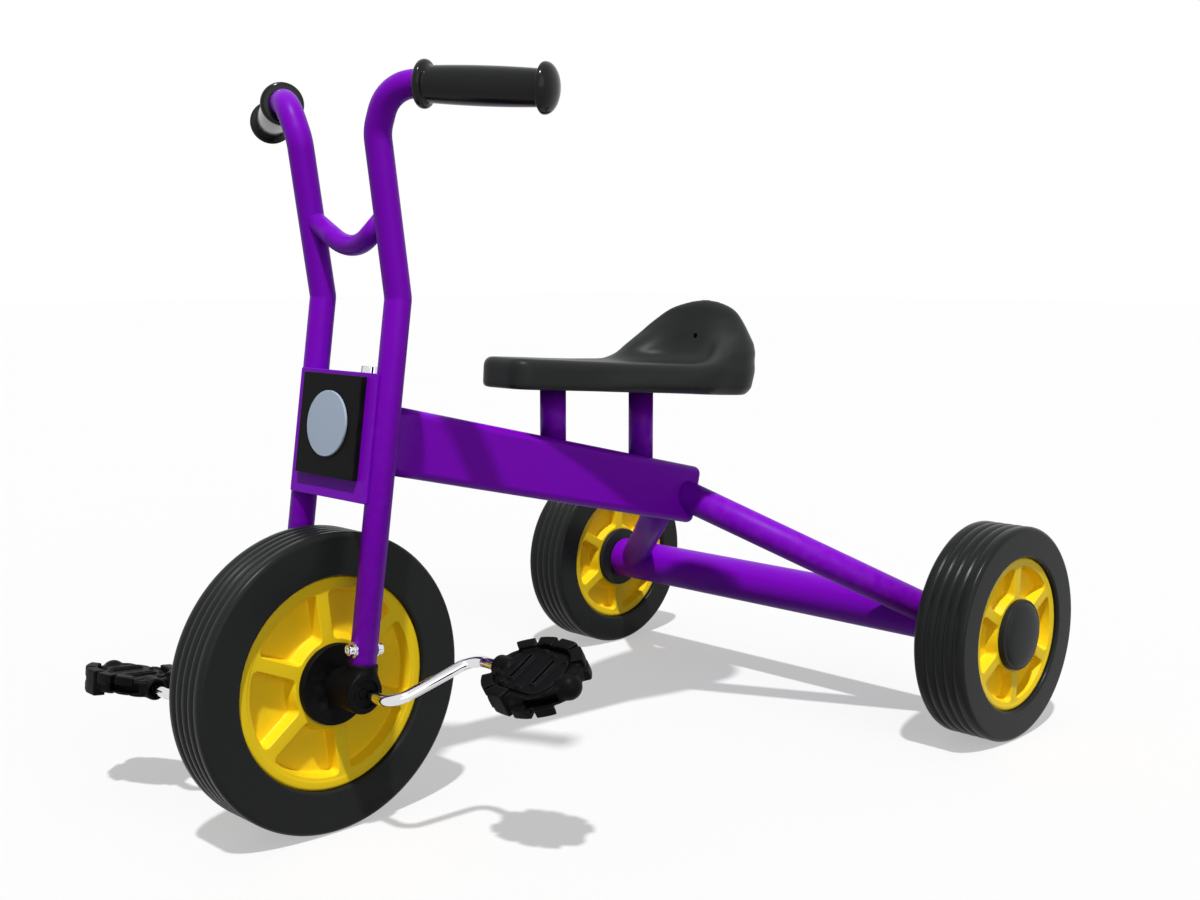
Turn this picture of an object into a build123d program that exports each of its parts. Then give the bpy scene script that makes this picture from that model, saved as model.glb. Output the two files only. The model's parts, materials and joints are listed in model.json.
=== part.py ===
from build123d import *
import os
from math import atan2, cos, degrees, hypot, pi, radians, sin, tan

# Toddler tricycle, in millimetres. +X forward, +Y to the rider's left, +Z up, floor at Z = 0.
# The origin is on the floor under the middle of the overall box.

# Wheels
FRONT_R = 114.0          # front tyre outer radius
FRONT_W = 43.4           # front tyre width
FRONT_TYRE = 33.1        # front tyre depth, tread to rim
FRONT_RING = 10.2        # front rim ring depth
FRONT_FACE = 17.6        # front rim face from the wheel's mid-plane
FRONT_RIB = 10.6         # front rib width
FRONT_RIB_TURN = 37.0    # angle of the first front rib
FRONT_DISC_R = 30.7      # front hub disc radius
FRONT_DISC_Y = 23.3      # front hub disc face from the mid-plane
REAR_R = 96.5            # rear tyre outer radius
REAR_W = 49.0            # rear tyre width
REAR_TYRE = 27.6         # rear tyre depth, tread to rim
REAR_RING = 8.1          # rear rim ring depth
REAR_FACE = 20.6         # rear rim face from the mid-plane
REAR_RIB = 9.9           # rear rib width
REAR_RIB_TURN = 30.0     # angle of the first rear rib
REAR_DISC_R = 31.6       # rear hub disc radius
REAR_DISC_IN = 25.5      # inner disc face from the mid-plane
REAR_DISC_OUT = 26.7     # outer cap edge from the mid-plane
REAR_DOME = 4.5          # outer cap dome height
RIB_COUNT = 6            # ribs on each face of a rim
POCKET = 10.6            # pocket depth between ribs
BOSS_R = 34.0            # rim boss radius
BARREL_R = 16.0          # hub barrel radius inside the rims
TYRE_EDGE = 3.0          # tyre shoulder bevel
WHEELBASE = 552.0        # front axle ahead of the rear axle
REAR_MID_Y = 247.2       # rear wheel mid-plane

# Steering
RAKE = 8.15              # fork tubes lean back going up, degrees
FORK_R = 10.0            # fork tube radius
FORK_Y = 47.6            # fork tube centre from the middle
FORK_BACK = 2.0          # fork tubes' plane behind the front axle
FOOT_S = 17.6            # tube foot above the front axle, along the tube
KINK_UP = 55.8           # bend where the tubes lean forward again, above the head plate
KINK_BEND = 14.0         # bend radius at the kink
BAR_X = -17.0            # grip line's start from the front axle, X
BAR_Y = 48.9             # grip line's start from the middle, Y
BAR_UP = 150.8           # grip line's start above the kink
BEND_X = -25.9           # lower handlebar bend from the front axle, X
BEND_UP = 117.8          # lower handlebar bend above the kink
BEND_OUT = 18.0          # upper handlebar bend along the grip line
BAR_BEND = 30.0          # bend radius at both handlebar bends
GRIP_SWEEP = 26.9        # grips sweep back, degrees
GRIP_DROP = 3.9          # grips drop outward, degrees
GRIP_START = 45.0        # inner flange middle along the grip line
GRIP_LEN = 91.6          # flange middle to end flange middle
GRIP_R = 13.0            # grip body radius
GRIP_FLANGE_R = 16.9     # grip inner flange radius
GRIP_FLANGE_T = 6.5      # grip inner flange thickness
GRIP_END_R = 17.6        # grip end radius
GRIP_END_T = 9.0         # grip end thickness
BRACE_R = 7.8            # brace tube radius
BRACE_UP = 59.8          # brace ends above the kink
BRACE_DIP = 28.0         # brace corner below its ends
BRACE_BEND = 42.0        # brace bend radius
PLATE_CLEAR = 22.8       # head plate bottom above the front tyre, along the tubes
PLATE_H = 94.8           # head plate height
PLATE_HALF = 48.6        # head plate half width
PLATE_T = 2.5            # head plate thickness
TONGUE_T = 3.6           # tongue thickness
TONGUE_R = 16.0          # tongue end radius round the bolt
STEER_BACK = 16.9        # steering axis behind the tubes
BOLT_R = 6.0             # steering bolt radius
BOLT_HEAD_R = 7.5        # bolt head and nut radius
BOLT_HEAD_T = 5.5        # bolt head and nut height
LAMP_UP = 15.7           # lamp plate bottom above the head plate's
LAMP_H = 76.1            # lamp plate height
LAMP_HALF = 37.0         # lamp plate half width
LAMP_T = 5.0             # lamp plate thickness
LENS_UP = 54.8           # lens centre above the head plate's bottom
LENS_R = 24.6            # lens radius
LENS_T = 2.0             # lens thickness
HOUSING_R = 15.2         # axle housing boss radius
HOUSING_IN = 27.0        # boss inner end from the middle
HOUSING_OUT = 57.6       # boss outer end from the middle
SLEEVE_R = 11.4          # housing sleeve radius round the tube foot

# Crank and pedals
CRANK_R = 4.2            # crank rod radius
CRANK_THROW = 69.0       # pedal spindle from the front axle
CRANK_TURN = 19.0        # left crank arm above level, to the rear, degrees
CRANK_Y0 = 90.0          # inner bend corner from the middle
CRANK_Y1 = 102.0         # outer bend corner from the middle
CRANK_BEND = 16.0        # crank bend radius
PEDAL_Y = 169.0          # pedal middle
PEDAL_HALF_Y = 38.0      # pedal half length along its spindle
PEDAL_HALF_X = 32.0      # pedal half width
PEDAL_CORNER = 27.0      # pedal corner radius
PEDAL_T = 13.0           # pedal body thickness
PEDAL_KNOB_T = 20.0      # pedal edge block height
PEDAL_KNOBS = 12         # blocks round the pedal's edge
PEDAL_SLOT = 2.6         # gap between edge blocks
PEDAL_RIM = 6.0          # edge block depth
PEDAL_LAP = 1.5          # deck reaches this far into the edge blocks
PEDAL_BARREL_R = 9.5     # spindle barrel radius
PEDAL_BARREL_IN = 40.0   # barrel inner end from the pedal's middle
PEDAL_BARREL_OUT = 33.0  # barrel outer end before its round end
PEDAL_TURN_L = 30.0      # left pedal tips forward, degrees
PEDAL_TURN_R = -5.0      # right pedal tips forward, degrees
SPINDLE_END = 26.0       # spindle end beyond the pedal's middle

# Frame
BEAM_END_Z = 208.35      # beam middle's height at its rear end
BEAM_H = 53.0            # beam height
BEAM_W = 30.4            # beam width
BEAM_CORNER = 7.0        # beam corner radius
BEAM_END_X = 140.6       # beam rear end ahead of the rear axle
HEAD_R = 16.6            # head tube radius
HEAD_GAP = 0.4           # head tube end to tongue
POST_R = 11.1            # seat post radius
POST_FRONT_X = 312.1     # front post ahead of the rear axle
POST_REAR_X = 203.7      # rear post ahead of the rear axle
STAY_R = 14.1            # stay radius
STAY_X = 151.3           # stay start at the beam's side, ahead of the rear axle
STAY_Z = 207.7           # stay start height
STAY_INSET = 15.0        # stay end inboard of the axle tube's end
TUBE_R = 21.2            # rear axle tube radius
TUBE_GAP = 2.7           # rear axle tube end to the hub's inner disc
AXLE_R = 6.0             # rear axle radius
AXLE_IN = 18.0           # axle end beyond the wheel's mid-plane

# Seat
SEAT_X = 280.0           # seat reference point ahead of the rear axle
SEAT_Z = 315.9           # seat underside height there
SEAT_TILT = 3.8          # seat falls to the rear, degrees
SEAT_T = 24.6            # seat pan thickness
SEAT_NOSE = 95.0         # nose ahead of the reference point
SEAT_NOSE_HALF = 26.0    # nose half width
SEAT_WIDE_X = -95.0      # where the seat reaches its full width
SEAT_HALF = 70.0         # seat half width
SEAT_BACK_X = -176.0     # seat rear end
SEAT_NOSE_R = 14.0       # nose corner radius
SEAT_SIDE_R = 60.0       # shoulder radius
SEAT_REAR_R = 34.0       # rear corner radius
SEAT_EDGE = 5.0          # pan upper edge radius
SEAT_UNDER = 8.0         # pan lower edge radius
BACK_H = 61.0            # back height above the pan
BACK_T = 27.0            # back thickness at its foot
BACK_SIDE_T = 13.0       # wing thickness at its foot
BACK_TAPER = 10.0        # outside of the back leans in, degrees
BACK_SHOULDER_Y = 50.0   # back shoulder from the middle
BACK_SHOULDER_H = 51.0   # back shoulder height
BACK_FLARE_Y = 62.0      # lower point of the back's side from the middle
BACK_FLARE_H = 36.0      # height of that point
WING_X = 26.0            # wing's middle point behind its front end
WING_H = 17.0            # height of that point
WING_BACK_X = 58.0       # wing's upper point behind its front end
WING_BACK_H = 38.0       # height of that point
BACK_HOLE = 4.0          # square hole in the back
BACK_HOLE_H = 26.0       # hole height above the pan

# Clearances
RUN = 0.05               # running fit, radial
SEAT_FIT = 0.02          # seated fit, radial

os.makedirs("parts", exist_ok=True)

X0 = (WHEELBASE + FRONT_R - REAR_R) / 2
FRONT_AXLE = Vector(WHEELBASE - X0, 0, FRONT_R)
REAR_AXLE = Vector(-X0, 0, REAR_R)
UP = Vector(-sin(radians(RAKE)), 0, cos(radians(RAKE)))
FORE = Vector(cos(radians(RAKE)), 0, sin(radians(RAKE)))
FORK_FOOT = FRONT_AXLE - FORE * FORK_BACK
FORK = Plane(origin=FORK_FOOT, x_dir=FORE, z_dir=UP)
FRONT_RIM_R = FRONT_R - FRONT_TYRE
REAR_RIM_R = REAR_R - REAR_TYRE
PLATE_S0 = FRONT_R + PLATE_CLEAR
PLATE_S1 = PLATE_S0 + PLATE_H
SIDES = (("left", 1), ("right", -1))
nodes = {}


def spin(face):
    return revolve(face, Axis.Y)


def rect(r0, r1, y0, y1):
    return Pos((r0 + r1) / 2, (y0 + y1) / 2) * Rectangle(r1 - r0, y1 - y0)


def across(r, y0, y1):
    return Pos(0, (y0 + y1) / 2, 0) * Rot(90, 0, 0) * Cylinder(r, abs(y1 - y0))


def rod(a, b, r):
    d = b - a
    return extrude(Plane(origin=a, z_dir=d) * Circle(r), d.length)


def bent(points, radii):
    edges, last = [], points[0]
    for a, b, c, r in zip(points, points[1:], points[2:], radii):
        u, v = (a - b).normalized(), (c - b).normalized()
        half = u.get_angle(v) / 2
        t = r / tan(radians(half))
        mid = b + (u + v).normalized() * (r / sin(radians(half)) - r)
        edges.append(Line(last, b + u * t))
        edges.append(ThreePointArc(b + u * t, mid, b + v * t))
        last = b + v * t
    edges.append(Line(last, points[-1]))
    return Wire(edges)


def tube(points, radii, r):
    path = bent(points, radii)
    return sweep(Plane(origin=points[0], z_dir=points[1] - points[0]) * Circle(r), path=path)


def flip(p, side):
    return Vector(p.X, p.Y * side, p.Z)


def tyre(r, rim, width):
    face = rect(rim + SEAT_FIT, r, -width / 2, width / 2)
    outer = [v for v in face.vertices() if v.X > (r + rim) / 2]
    return spin(chamfer(outer, TYRE_EDGE))


def rim(r, ring, face_y, rib, turn):
    body = spin(rect(BARREL_R + SEAT_FIT, r, -face_y, face_y))
    for s in (1, -1):
        hole = spin(rect(BOSS_R, r - ring, s * (face_y - POCKET), s * face_y))
        for k in range(RIB_COUNT // 2):
            bar = Box(2 * r, 4 * face_y, rib)
            hole -= Rot(0, turn + 360 / RIB_COUNT * k, 0) * bar
        body -= hole
    return body


# Front wheel, with its hub and the crank that drives it
A = Pos(FRONT_AXLE)
nodes["front_tyre"] = A * tyre(FRONT_R, FRONT_RIM_R, FRONT_W)
nodes["front_rim"] = A * rim(FRONT_RIM_R, FRONT_RING, FRONT_FACE, FRONT_RIB, FRONT_RIB_TURN)
disc = rect(CRANK_R + SEAT_FIT, BARREL_R, -FRONT_DISC_Y, FRONT_DISC_Y)
for s in (1, -1):
    disc += rect(CRANK_R + SEAT_FIT, FRONT_DISC_R, s * FRONT_FACE, s * FRONT_DISC_Y)
nodes["front_hub"] = A * spin(disc)

throw = Vector(-cos(radians(CRANK_TURN)), 0, sin(radians(CRANK_TURN))) * CRANK_THROW
half = [Vector(0, CRANK_Y0, 0), Vector(0, CRANK_Y1, 0) + throw, Vector(0, PEDAL_Y + SPINDLE_END, 0) + throw]
path = [v * -1 for v in reversed(half)] + half
nodes["crank"] = A * tube(path, [CRANK_BEND] * 4, CRANK_R)

# Pedals: an oval block with notched edge, a spindle barrel and a blind bore
oval = RectangleRounded(2 * PEDAL_HALF_X, 2 * PEDAL_HALF_Y, PEDAL_CORNER)
deck = RectangleRounded(2 * (PEDAL_HALF_X - PEDAL_RIM), 2 * (PEDAL_HALF_Y - PEDAL_RIM), PEDAL_CORNER - PEDAL_RIM)
ring = extrude(oval - deck, PEDAL_KNOB_T / 2, both=True)
for k in range(PEDAL_KNOBS // 2):
    ring -= Rot(0, 0, 360 / PEDAL_KNOBS * (k + 0.5)) * Box(4 * PEDAL_HALF_Y, PEDAL_SLOT, PEDAL_KNOB_T)
block = extrude(offset(deck, PEDAL_LAP), PEDAL_T / 2, both=True) + ring
block += across(PEDAL_BARREL_R, -PEDAL_BARREL_IN, PEDAL_BARREL_OUT)
block += Pos(0, PEDAL_BARREL_OUT, 0) * Sphere(PEDAL_BARREL_R)
block -= across(CRANK_R + RUN, -PEDAL_BARREL_IN - 1, SPINDLE_END + 0.5)
for name, s, turn in (("left", 1, PEDAL_TURN_L), ("right", -1, PEDAL_TURN_R)):
    at = FRONT_AXLE + throw * s + Vector(0, PEDAL_Y * s, 0)
    face = Rot(0, turn, 0) * (Rot(0, 0, 0) if s > 0 else Rot(0, 0, 180))
    nodes["pedal_" + name] = Pos(at) * face * block

# Rear wheels on their axle
nodes["rear_axle"] = Pos(REAR_AXLE) * across(AXLE_R, -REAR_MID_Y - AXLE_IN, REAR_MID_Y + AXLE_IN)
tube_half = REAR_MID_Y - REAR_DISC_IN - TUBE_GAP
tube_body = across(TUBE_R, -tube_half, tube_half)
nodes["rear_axle_tube"] = Pos(REAR_AXLE) * (tube_body - across(AXLE_R + SEAT_FIT, -tube_half, tube_half))
disc = rect(0, BARREL_R, -REAR_DISC_IN, REAR_DISC_OUT)
disc += rect(0, REAR_DISC_R, -REAR_DISC_IN, -REAR_FACE)
disc += rect(0, REAR_DISC_R, REAR_FACE, REAR_DISC_OUT)
dome_r = (REAR_DISC_R**2 + REAR_DOME**2) / (2 * REAR_DOME)
cap = Pos(0, REAR_DISC_OUT + REAR_DOME - dome_r) * Circle(dome_r)
disc += cap & rect(0, REAR_DISC_R, REAR_DISC_OUT, REAR_DISC_OUT + REAR_DOME)
rear_hub = spin(disc) - across(AXLE_R + RUN, -REAR_DISC_IN - 1, AXLE_IN + 0.5)
rear_tyre = tyre(REAR_R, REAR_RIM_R, REAR_W)
rear_rim = rim(REAR_RIM_R, REAR_RING, REAR_FACE, REAR_RIB, REAR_RIB_TURN)
for name, s in SIDES:
    at = Pos(REAR_AXLE + Vector(0, REAR_MID_Y * s, 0))
    face = Rot(0, 0, 0) if s > 0 else Rot(0, 0, 180)
    nodes["rear_tyre_" + name] = at * rear_tyre
    nodes["rear_rim_" + name] = at * rear_rim
    nodes["rear_hub_" + name] = at * face * rear_hub

# Steering: two bent tubes, the brace, the head box with its bolt, the lamp, grips and axle housings
kink = FORK_FOOT + UP * (PLATE_S1 + KINK_UP)
corner = Vector(FRONT_AXLE.X + BAR_X, BAR_Y, kink.Z + BAR_UP)
bend = Vector(FRONT_AXLE.X + BEND_X, BAR_Y, kink.Z + BEND_UP)
out = Vector(-sin(radians(GRIP_SWEEP)), cos(radians(GRIP_SWEEP)), 0) * cos(radians(GRIP_DROP)) - Vector(0, 0, sin(radians(GRIP_DROP)))
side_y = Vector(0, FORK_Y, 0)
foot = FORK_FOOT + UP * FOOT_S + side_y
bar_end = corner + out * (GRIP_START + GRIP_LEN - GRIP_END_T / 2)
grip_face = rect(0, GRIP_FLANGE_R, -GRIP_FLANGE_T / 2, GRIP_FLANGE_T / 2)
grip_face += rect(0, GRIP_R, 0, GRIP_LEN)
grip_face += rect(0, GRIP_END_R, GRIP_LEN - GRIP_END_T / 2, GRIP_LEN + GRIP_END_T / 2)
grip = spin(grip_face)
rims = [e for e in grip.edges() if e.geom_type == GeomType.CIRCLE and e.radius > GRIP_R + 1]
grip = fillet(rims, 2.2)
grip -= across(FORK_R + SEAT_FIT, -GRIP_FLANGE_T, GRIP_LEN - GRIP_END_T / 2 + SEAT_FIT)
boss = Plane(FRONT_AXLE) * across(HOUSING_R, HOUSING_IN, HOUSING_OUT)
sleeve = rod(FORK_FOOT + side_y, foot, SLEEVE_R)
housing = boss + sleeve - Pos(FRONT_AXLE) * across(CRANK_R + RUN, 0, 2 * HOUSING_OUT)
for name, s in SIDES:
    pts = [flip(p, s) for p in (foot, kink + side_y, bend, corner + out * BEND_OUT, bar_end)]
    nodes["fork_tube_" + name] = tube(pts, [KINK_BEND, BAR_BEND, BAR_BEND], FORK_R)
    seat_at = flip(corner + out * GRIP_START, s)
    g = Plane(origin=seat_at, x_dir=(0, 0, 1), z_dir=flip(out, s)) * Rot(90, 0, 0) * grip
    nodes["grip_" + name] = g
    nodes["axle_housing_" + name] = housing if s > 0 else mirror(housing, Plane.XZ)

lean = (bend - (kink + side_y)).normalized()
end = kink + side_y + lean * (BRACE_UP / lean.Z)
low = Vector(end.X - BRACE_DIP * lean.X / lean.Z, 0, end.Z - BRACE_DIP)
brace = tube([end, low, flip(end, -1)], [BRACE_BEND], BRACE_R)
for name, s in SIDES:
    line = rod(flip(kink + side_y, s), flip(bend, s), FORK_R + SEAT_FIT)
    brace -= line
nodes["handlebar_brace"] = brace.solids().sort_by(SortBy.VOLUME)[-1]


def fork_box(w0, w1, half, s0, s1):
    return FORK * (Pos((w0 + w1) / 2, 0, (s0 + s1) / 2) * Box(w1 - w0, 2 * half, s1 - s0))


head = fork_box(FORK_R, FORK_R + PLATE_T, PLATE_HALF, PLATE_S0, PLATE_S1)
for s0 in (PLATE_S0, PLATE_S1 - TONGUE_T):
    head += fork_box(-FORK_R, FORK_R, FORK_Y - FORK_R - 0.1, s0, s0 + TONGUE_T)
    head += fork_box(-STEER_BACK, 0, TONGUE_R, s0, s0 + TONGUE_T)
    head += FORK * (Pos(-STEER_BACK, 0, s0 + TONGUE_T / 2) * Cylinder(TONGUE_R, TONGUE_T))
shaft = Pos(-STEER_BACK, 0, (PLATE_S0 + PLATE_S1) / 2)
head -= FORK * (shaft * Cylinder(BOLT_R + SEAT_FIT, 2 * PLATE_S1))
nodes["head_box"] = head
bolt = FORK * (shaft * Cylinder(BOLT_R, PLATE_S1 - PLATE_S0 + BOLT_HEAD_T))
for s0 in (PLATE_S0 - BOLT_HEAD_T, PLATE_S1):
    bolt += FORK * (Pos(-STEER_BACK, 0, s0 + BOLT_HEAD_T / 2) * Cylinder(BOLT_HEAD_R, BOLT_HEAD_T))
nodes["steering_bolt"] = bolt
lamp_w = FORK_R + PLATE_T
lamp_s = PLATE_S0 + LAMP_UP
nodes["lamp_plate"] = fork_box(lamp_w, lamp_w + LAMP_T, LAMP_HALF, lamp_s, lamp_s + LAMP_H)
nodes["lamp_lens"] = FORK * (Pos(lamp_w + LAMP_T + LENS_T / 2, 0, PLATE_S0 + LENS_UP) * Rot(0, 90, 0) * Cylinder(LENS_R, LENS_T))

# Frame: head tube, beam, posts, stays and axle tube
head_len = PLATE_S1 - PLATE_S0 - 2 * (TONGUE_T + HEAD_GAP)
head_out = FORK * (shaft * Cylinder(HEAD_R, head_len))
nodes["head_tube"] = head_out - FORK * (shaft * Cylinder(BOLT_R + RUN, 2 * head_len))
head_mid = FORK_FOOT - FORE * STEER_BACK + UP * ((PLATE_S0 + PLATE_S1) / 2)
back = Vector(BEAM_END_X - X0, 0, BEAM_END_Z) - head_mid
beam_len = back.length
section = Plane(origin=head_mid, x_dir=(0, 1, 0), z_dir=back) * RectangleRounded(BEAM_W, BEAM_H, BEAM_CORNER)
beam = extrude(section, beam_len)
beam_end = beam.faces().sort_by(Axis.X)[0]
beam = fillet(beam_end.edges(), BEAM_CORNER * 0.8)
beam_cut = beam - FORK * (shaft * Cylinder(HEAD_R, 3 * head_len))
nodes["main_beam"] = beam_cut.solids().sort_by(SortBy.VOLUME)[-1]
seat_plane = Plane(Location((SEAT_X - X0, 0, SEAT_Z), (0, -SEAT_TILT, 0)))
for name, x in (("front", POST_FRONT_X), ("rear", POST_REAR_X)):
    z_seat = SEAT_Z + (x - SEAT_X) * tan(radians(SEAT_TILT))
    post = Pos(x - X0, 0, z_seat) * Cylinder(POST_R, 2 * z_seat)
    post -= seat_plane * (Pos(0, 0, z_seat) * Box(2 * WHEELBASE, 4 * POST_R, 2 * z_seat))
    post -= beam
    nodes["seat_post_" + name] = post.solids().sort_by(Axis.Z)[-1]
for name, s in SIDES:
    start = Vector(STAY_X - X0, s * BEAM_W / 2, STAY_Z)
    stop = REAR_AXLE + Vector(0, s * (tube_half - STAY_INSET), 0)
    d = (stop - start).normalized()
    stay = rod(start - d * 3 * STAY_R, stop, STAY_R)
    stay -= Pos(start.X, 0, STAY_Z) * Box(WHEELBASE, BEAM_W, WHEELBASE)
    stay -= Pos(REAR_AXLE) * tube_body
    nodes["stay_" + name] = stay.solids().sort_by(SortBy.VOLUME)[-1]

# Seat: pan, and a back cut from a wall round the rear by a side view and a rear view
outline = Polygon((SEAT_NOSE, -SEAT_NOSE_HALF), (SEAT_NOSE, SEAT_NOSE_HALF), (SEAT_WIDE_X, SEAT_HALF), (SEAT_BACK_X, SEAT_HALF), (SEAT_BACK_X, -SEAT_HALF), (SEAT_WIDE_X, -SEAT_HALF), align=None)


def corners(face, x0, x1, r):
    return fillet([v for v in face.vertices() if x0 < v.X < x1], r)


outline = corners(outline, SEAT_NOSE - 1, SEAT_NOSE + 1, SEAT_NOSE_R)
outline = corners(outline, SEAT_WIDE_X - 1, SEAT_WIDE_X + 1, SEAT_SIDE_R)
outline = corners(outline, SEAT_BACK_X - 1, SEAT_BACK_X + 1, SEAT_REAR_R)
pan = extrude(outline, SEAT_T)
pan = fillet(pan.faces().sort_by(Axis.Z)[-1].edges(), SEAT_EDGE)
pan = fillet(pan.faces().sort_by(Axis.Z)[0].edges(), SEAT_UNDER)
back_x = SEAT_BACK_X + BACK_T
inner = Pos((back_x + SEAT_NOSE) / 2, 0) * Rectangle(SEAT_NOSE - back_x, 2 * (SEAT_HALF - BACK_SIDE_T))
inner = corners(inner, back_x - 1, back_x + 1, SEAT_REAR_R - BACK_SIDE_T / 2)
foot_z = SEAT_T - SEAT_EDGE
wall = Pos(0, 0, foot_z) * extrude(outline, BACK_H + SEAT_EDGE, taper=BACK_TAPER)
wall -= extrude(inner, SEAT_T + BACK_H + 1)
crest = [(-SEAT_HALF - 1, 0), (-SEAT_HALF - 1, SEAT_T), (-BACK_FLARE_Y, SEAT_T + BACK_FLARE_H), (-BACK_SHOULDER_Y, SEAT_T + BACK_SHOULDER_H)]
other = [(-y, z) for y, z in reversed(crest)]
rear_view = Polyline(*crest) + ThreePointArc(crest[-1], (0, SEAT_T + BACK_H), other[0]) + Polyline(*other, crest[0])
rear_cut = extrude(Plane.YZ * make_face(rear_view), SEAT_BACK_X - 5)
side_view = Polygon((SEAT_WIDE_X, 0), (SEAT_WIDE_X, SEAT_T), (SEAT_WIDE_X - WING_X, SEAT_T + WING_H), (SEAT_WIDE_X - WING_BACK_X, SEAT_T + WING_BACK_H), (SEAT_BACK_X + BACK_T / 2, SEAT_T + BACK_H + 9), (SEAT_BACK_X - 5, SEAT_T + BACK_H + 9), (SEAT_BACK_X - 5, 0), align=None)
side_cut = extrude(Plane.XZ * side_view, SEAT_HALF + 5, both=True)
seat = pan + (wall & rear_cut & side_cut)
seat -= Pos(back_x, 0, SEAT_T + BACK_HOLE_H) * Box(4 * BACK_T, BACK_HOLE, BACK_HOLE)
nodes["seat"] = seat_plane * seat

for name, solid in nodes.items():
    parts = solid.solids()
    if len(parts) != 1:
        raise ValueError(f"{name}: {len(parts)} solids")
    export_step(parts[0], f"parts/{name}.step")
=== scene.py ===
import json
import math

import bmesh
import bpy
import numpy as np
from mathutils import Matrix, Vector
from mathutils.geometry import delaunay_2d_cdt


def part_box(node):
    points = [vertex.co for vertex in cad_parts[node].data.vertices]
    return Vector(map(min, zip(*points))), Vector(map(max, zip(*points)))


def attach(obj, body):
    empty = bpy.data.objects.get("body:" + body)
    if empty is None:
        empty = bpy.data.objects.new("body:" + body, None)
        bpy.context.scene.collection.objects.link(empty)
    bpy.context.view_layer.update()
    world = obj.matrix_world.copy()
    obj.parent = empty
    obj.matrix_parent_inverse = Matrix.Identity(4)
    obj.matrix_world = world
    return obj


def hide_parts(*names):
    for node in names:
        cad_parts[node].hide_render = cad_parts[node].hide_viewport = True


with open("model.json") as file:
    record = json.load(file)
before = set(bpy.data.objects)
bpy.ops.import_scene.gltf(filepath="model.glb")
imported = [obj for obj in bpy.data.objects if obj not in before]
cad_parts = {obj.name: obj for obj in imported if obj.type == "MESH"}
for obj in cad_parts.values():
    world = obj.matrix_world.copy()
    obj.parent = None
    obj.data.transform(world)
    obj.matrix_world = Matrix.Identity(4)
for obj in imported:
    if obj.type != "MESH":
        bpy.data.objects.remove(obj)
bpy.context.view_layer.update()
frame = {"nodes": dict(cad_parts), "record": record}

bl_info = {
    "name": "Toddler tricycle",
    "version": (1, 0, 0),
    "blender": (4, 5, 0),
    "location": "View3D > Sidebar > Tricycle",
    "description": "Builds the visible pieces of a toddler tricycle round its CAD frame",
    "category": "Object",
}

MM = 0.001
SIDES = (("left", 1), ("right", -1))
# end of the tricycle, tail of the node's name, body
WHEELS = (("front", "", "front_wheel"), ("rear", "_left", "rear_wheel_left"), ("rear", "_right", "rear_wheel_right"))
# half the thickness of a grip's end in the CAD
GRIP_END_HALF = 4.5 * MM
# fineness of the soft change of tone in a finish
MOTTLE_SCALE = 18.0


def middle(node):
    low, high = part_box(node)
    return (low + high) / 2


def half_size(node):
    low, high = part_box(node)
    return (high - low) / 2


def length(name, description, mm):
    return bpy.props.FloatProperty(
        name=name, description=description, default=mm * MM, min=0, precision=5, unit="LENGTH", subtype="DISTANCE")


def angle(name, description, degrees):
    return bpy.props.FloatProperty(
        name=name, description=description, default=math.radians(degrees), unit="ROTATION", subtype="ANGLE")


def count(name, description, default):
    return bpy.props.IntProperty(name=name, description=description, default=default, min=1)


def linear(r, g, b):
    return tuple(c / 12.92 if c <= 0.04045 else ((c + 0.055) / 1.055) ** 2.4 for c in (r / 255, g / 255, b / 255))


def colour(name, description, r, g, b):
    return bpy.props.FloatVectorProperty(
        name=name, description=description, size=3, min=0, max=1, default=linear(r, g, b), subtype="COLOR")


# Sizes and colours

class TricycleWheelSizes(bpy.types.PropertyGroup):
    front_radius: length("Front radius", "Front tyre radius", half_size("front_tyre").z / MM)
    front_half: length("Front half width", "Half the front tyre's width", half_size("front_tyre").y / MM)
    front_rim: length("Front rim radius", "Front rim outer radius", half_size("front_rim").z / MM)
    front_face: length("Front rim face", "Front rim face from the wheel's middle", half_size("front_rim").y / MM)
    front_ring: length("Front ring", "Depth of the front rim's outer ring", 10.2)
    front_rib: length("Front rib", "Width of a front rim rib", 10.6)
    front_turn: angle("Front rib turn", "Angle of the first front rib", 37)
    front_disc: length("Front disc radius", "Front hub disc radius", 30.7)
    rear_radius: length("Rear radius", "Rear tyre radius", half_size("rear_tyre_left").z / MM)
    rear_half: length("Rear half width", "Half the rear tyre's width", half_size("rear_tyre_left").y / MM)
    rear_rim: length("Rear rim radius", "Rear rim outer radius", half_size("rear_rim_left").z / MM)
    rear_face: length("Rear rim face", "Rear rim face from the wheel's middle", half_size("rear_rim_left").y / MM)
    rear_ring: length("Rear ring", "Depth of the rear rim's outer ring", 8.1)
    rear_rib: length("Rear rib", "Width of a rear rim rib", 9.9)
    rear_turn: angle("Rear rib turn", "Angle of the first rear rib", 30)
    rear_disc: length("Rear disc radius", "Rear hub disc radius", 31.6)
    rear_cap: length("Rear cap", "Rear hub cap edge from the wheel's middle", 26.7)
    rear_dome: length("Rear dome", "Height of the rear hub cap's dome", 4.5)
    rear_back: length("Rear back disc", "Rear hub's inner face from the wheel's middle", 25.5)
    ribs: count("Ribs", "Ribs on each face of a rim", 6)
    pocket: length("Pocket", "Depth of the pockets between ribs", 10.6)
    boss: length("Boss", "Rim boss radius", 34)
    barrel: length("Barrel", "Hub barrel radius in the rim", 16)
    groove: length("Groove", "Depth of the tread grooves", 2.0)


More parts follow.
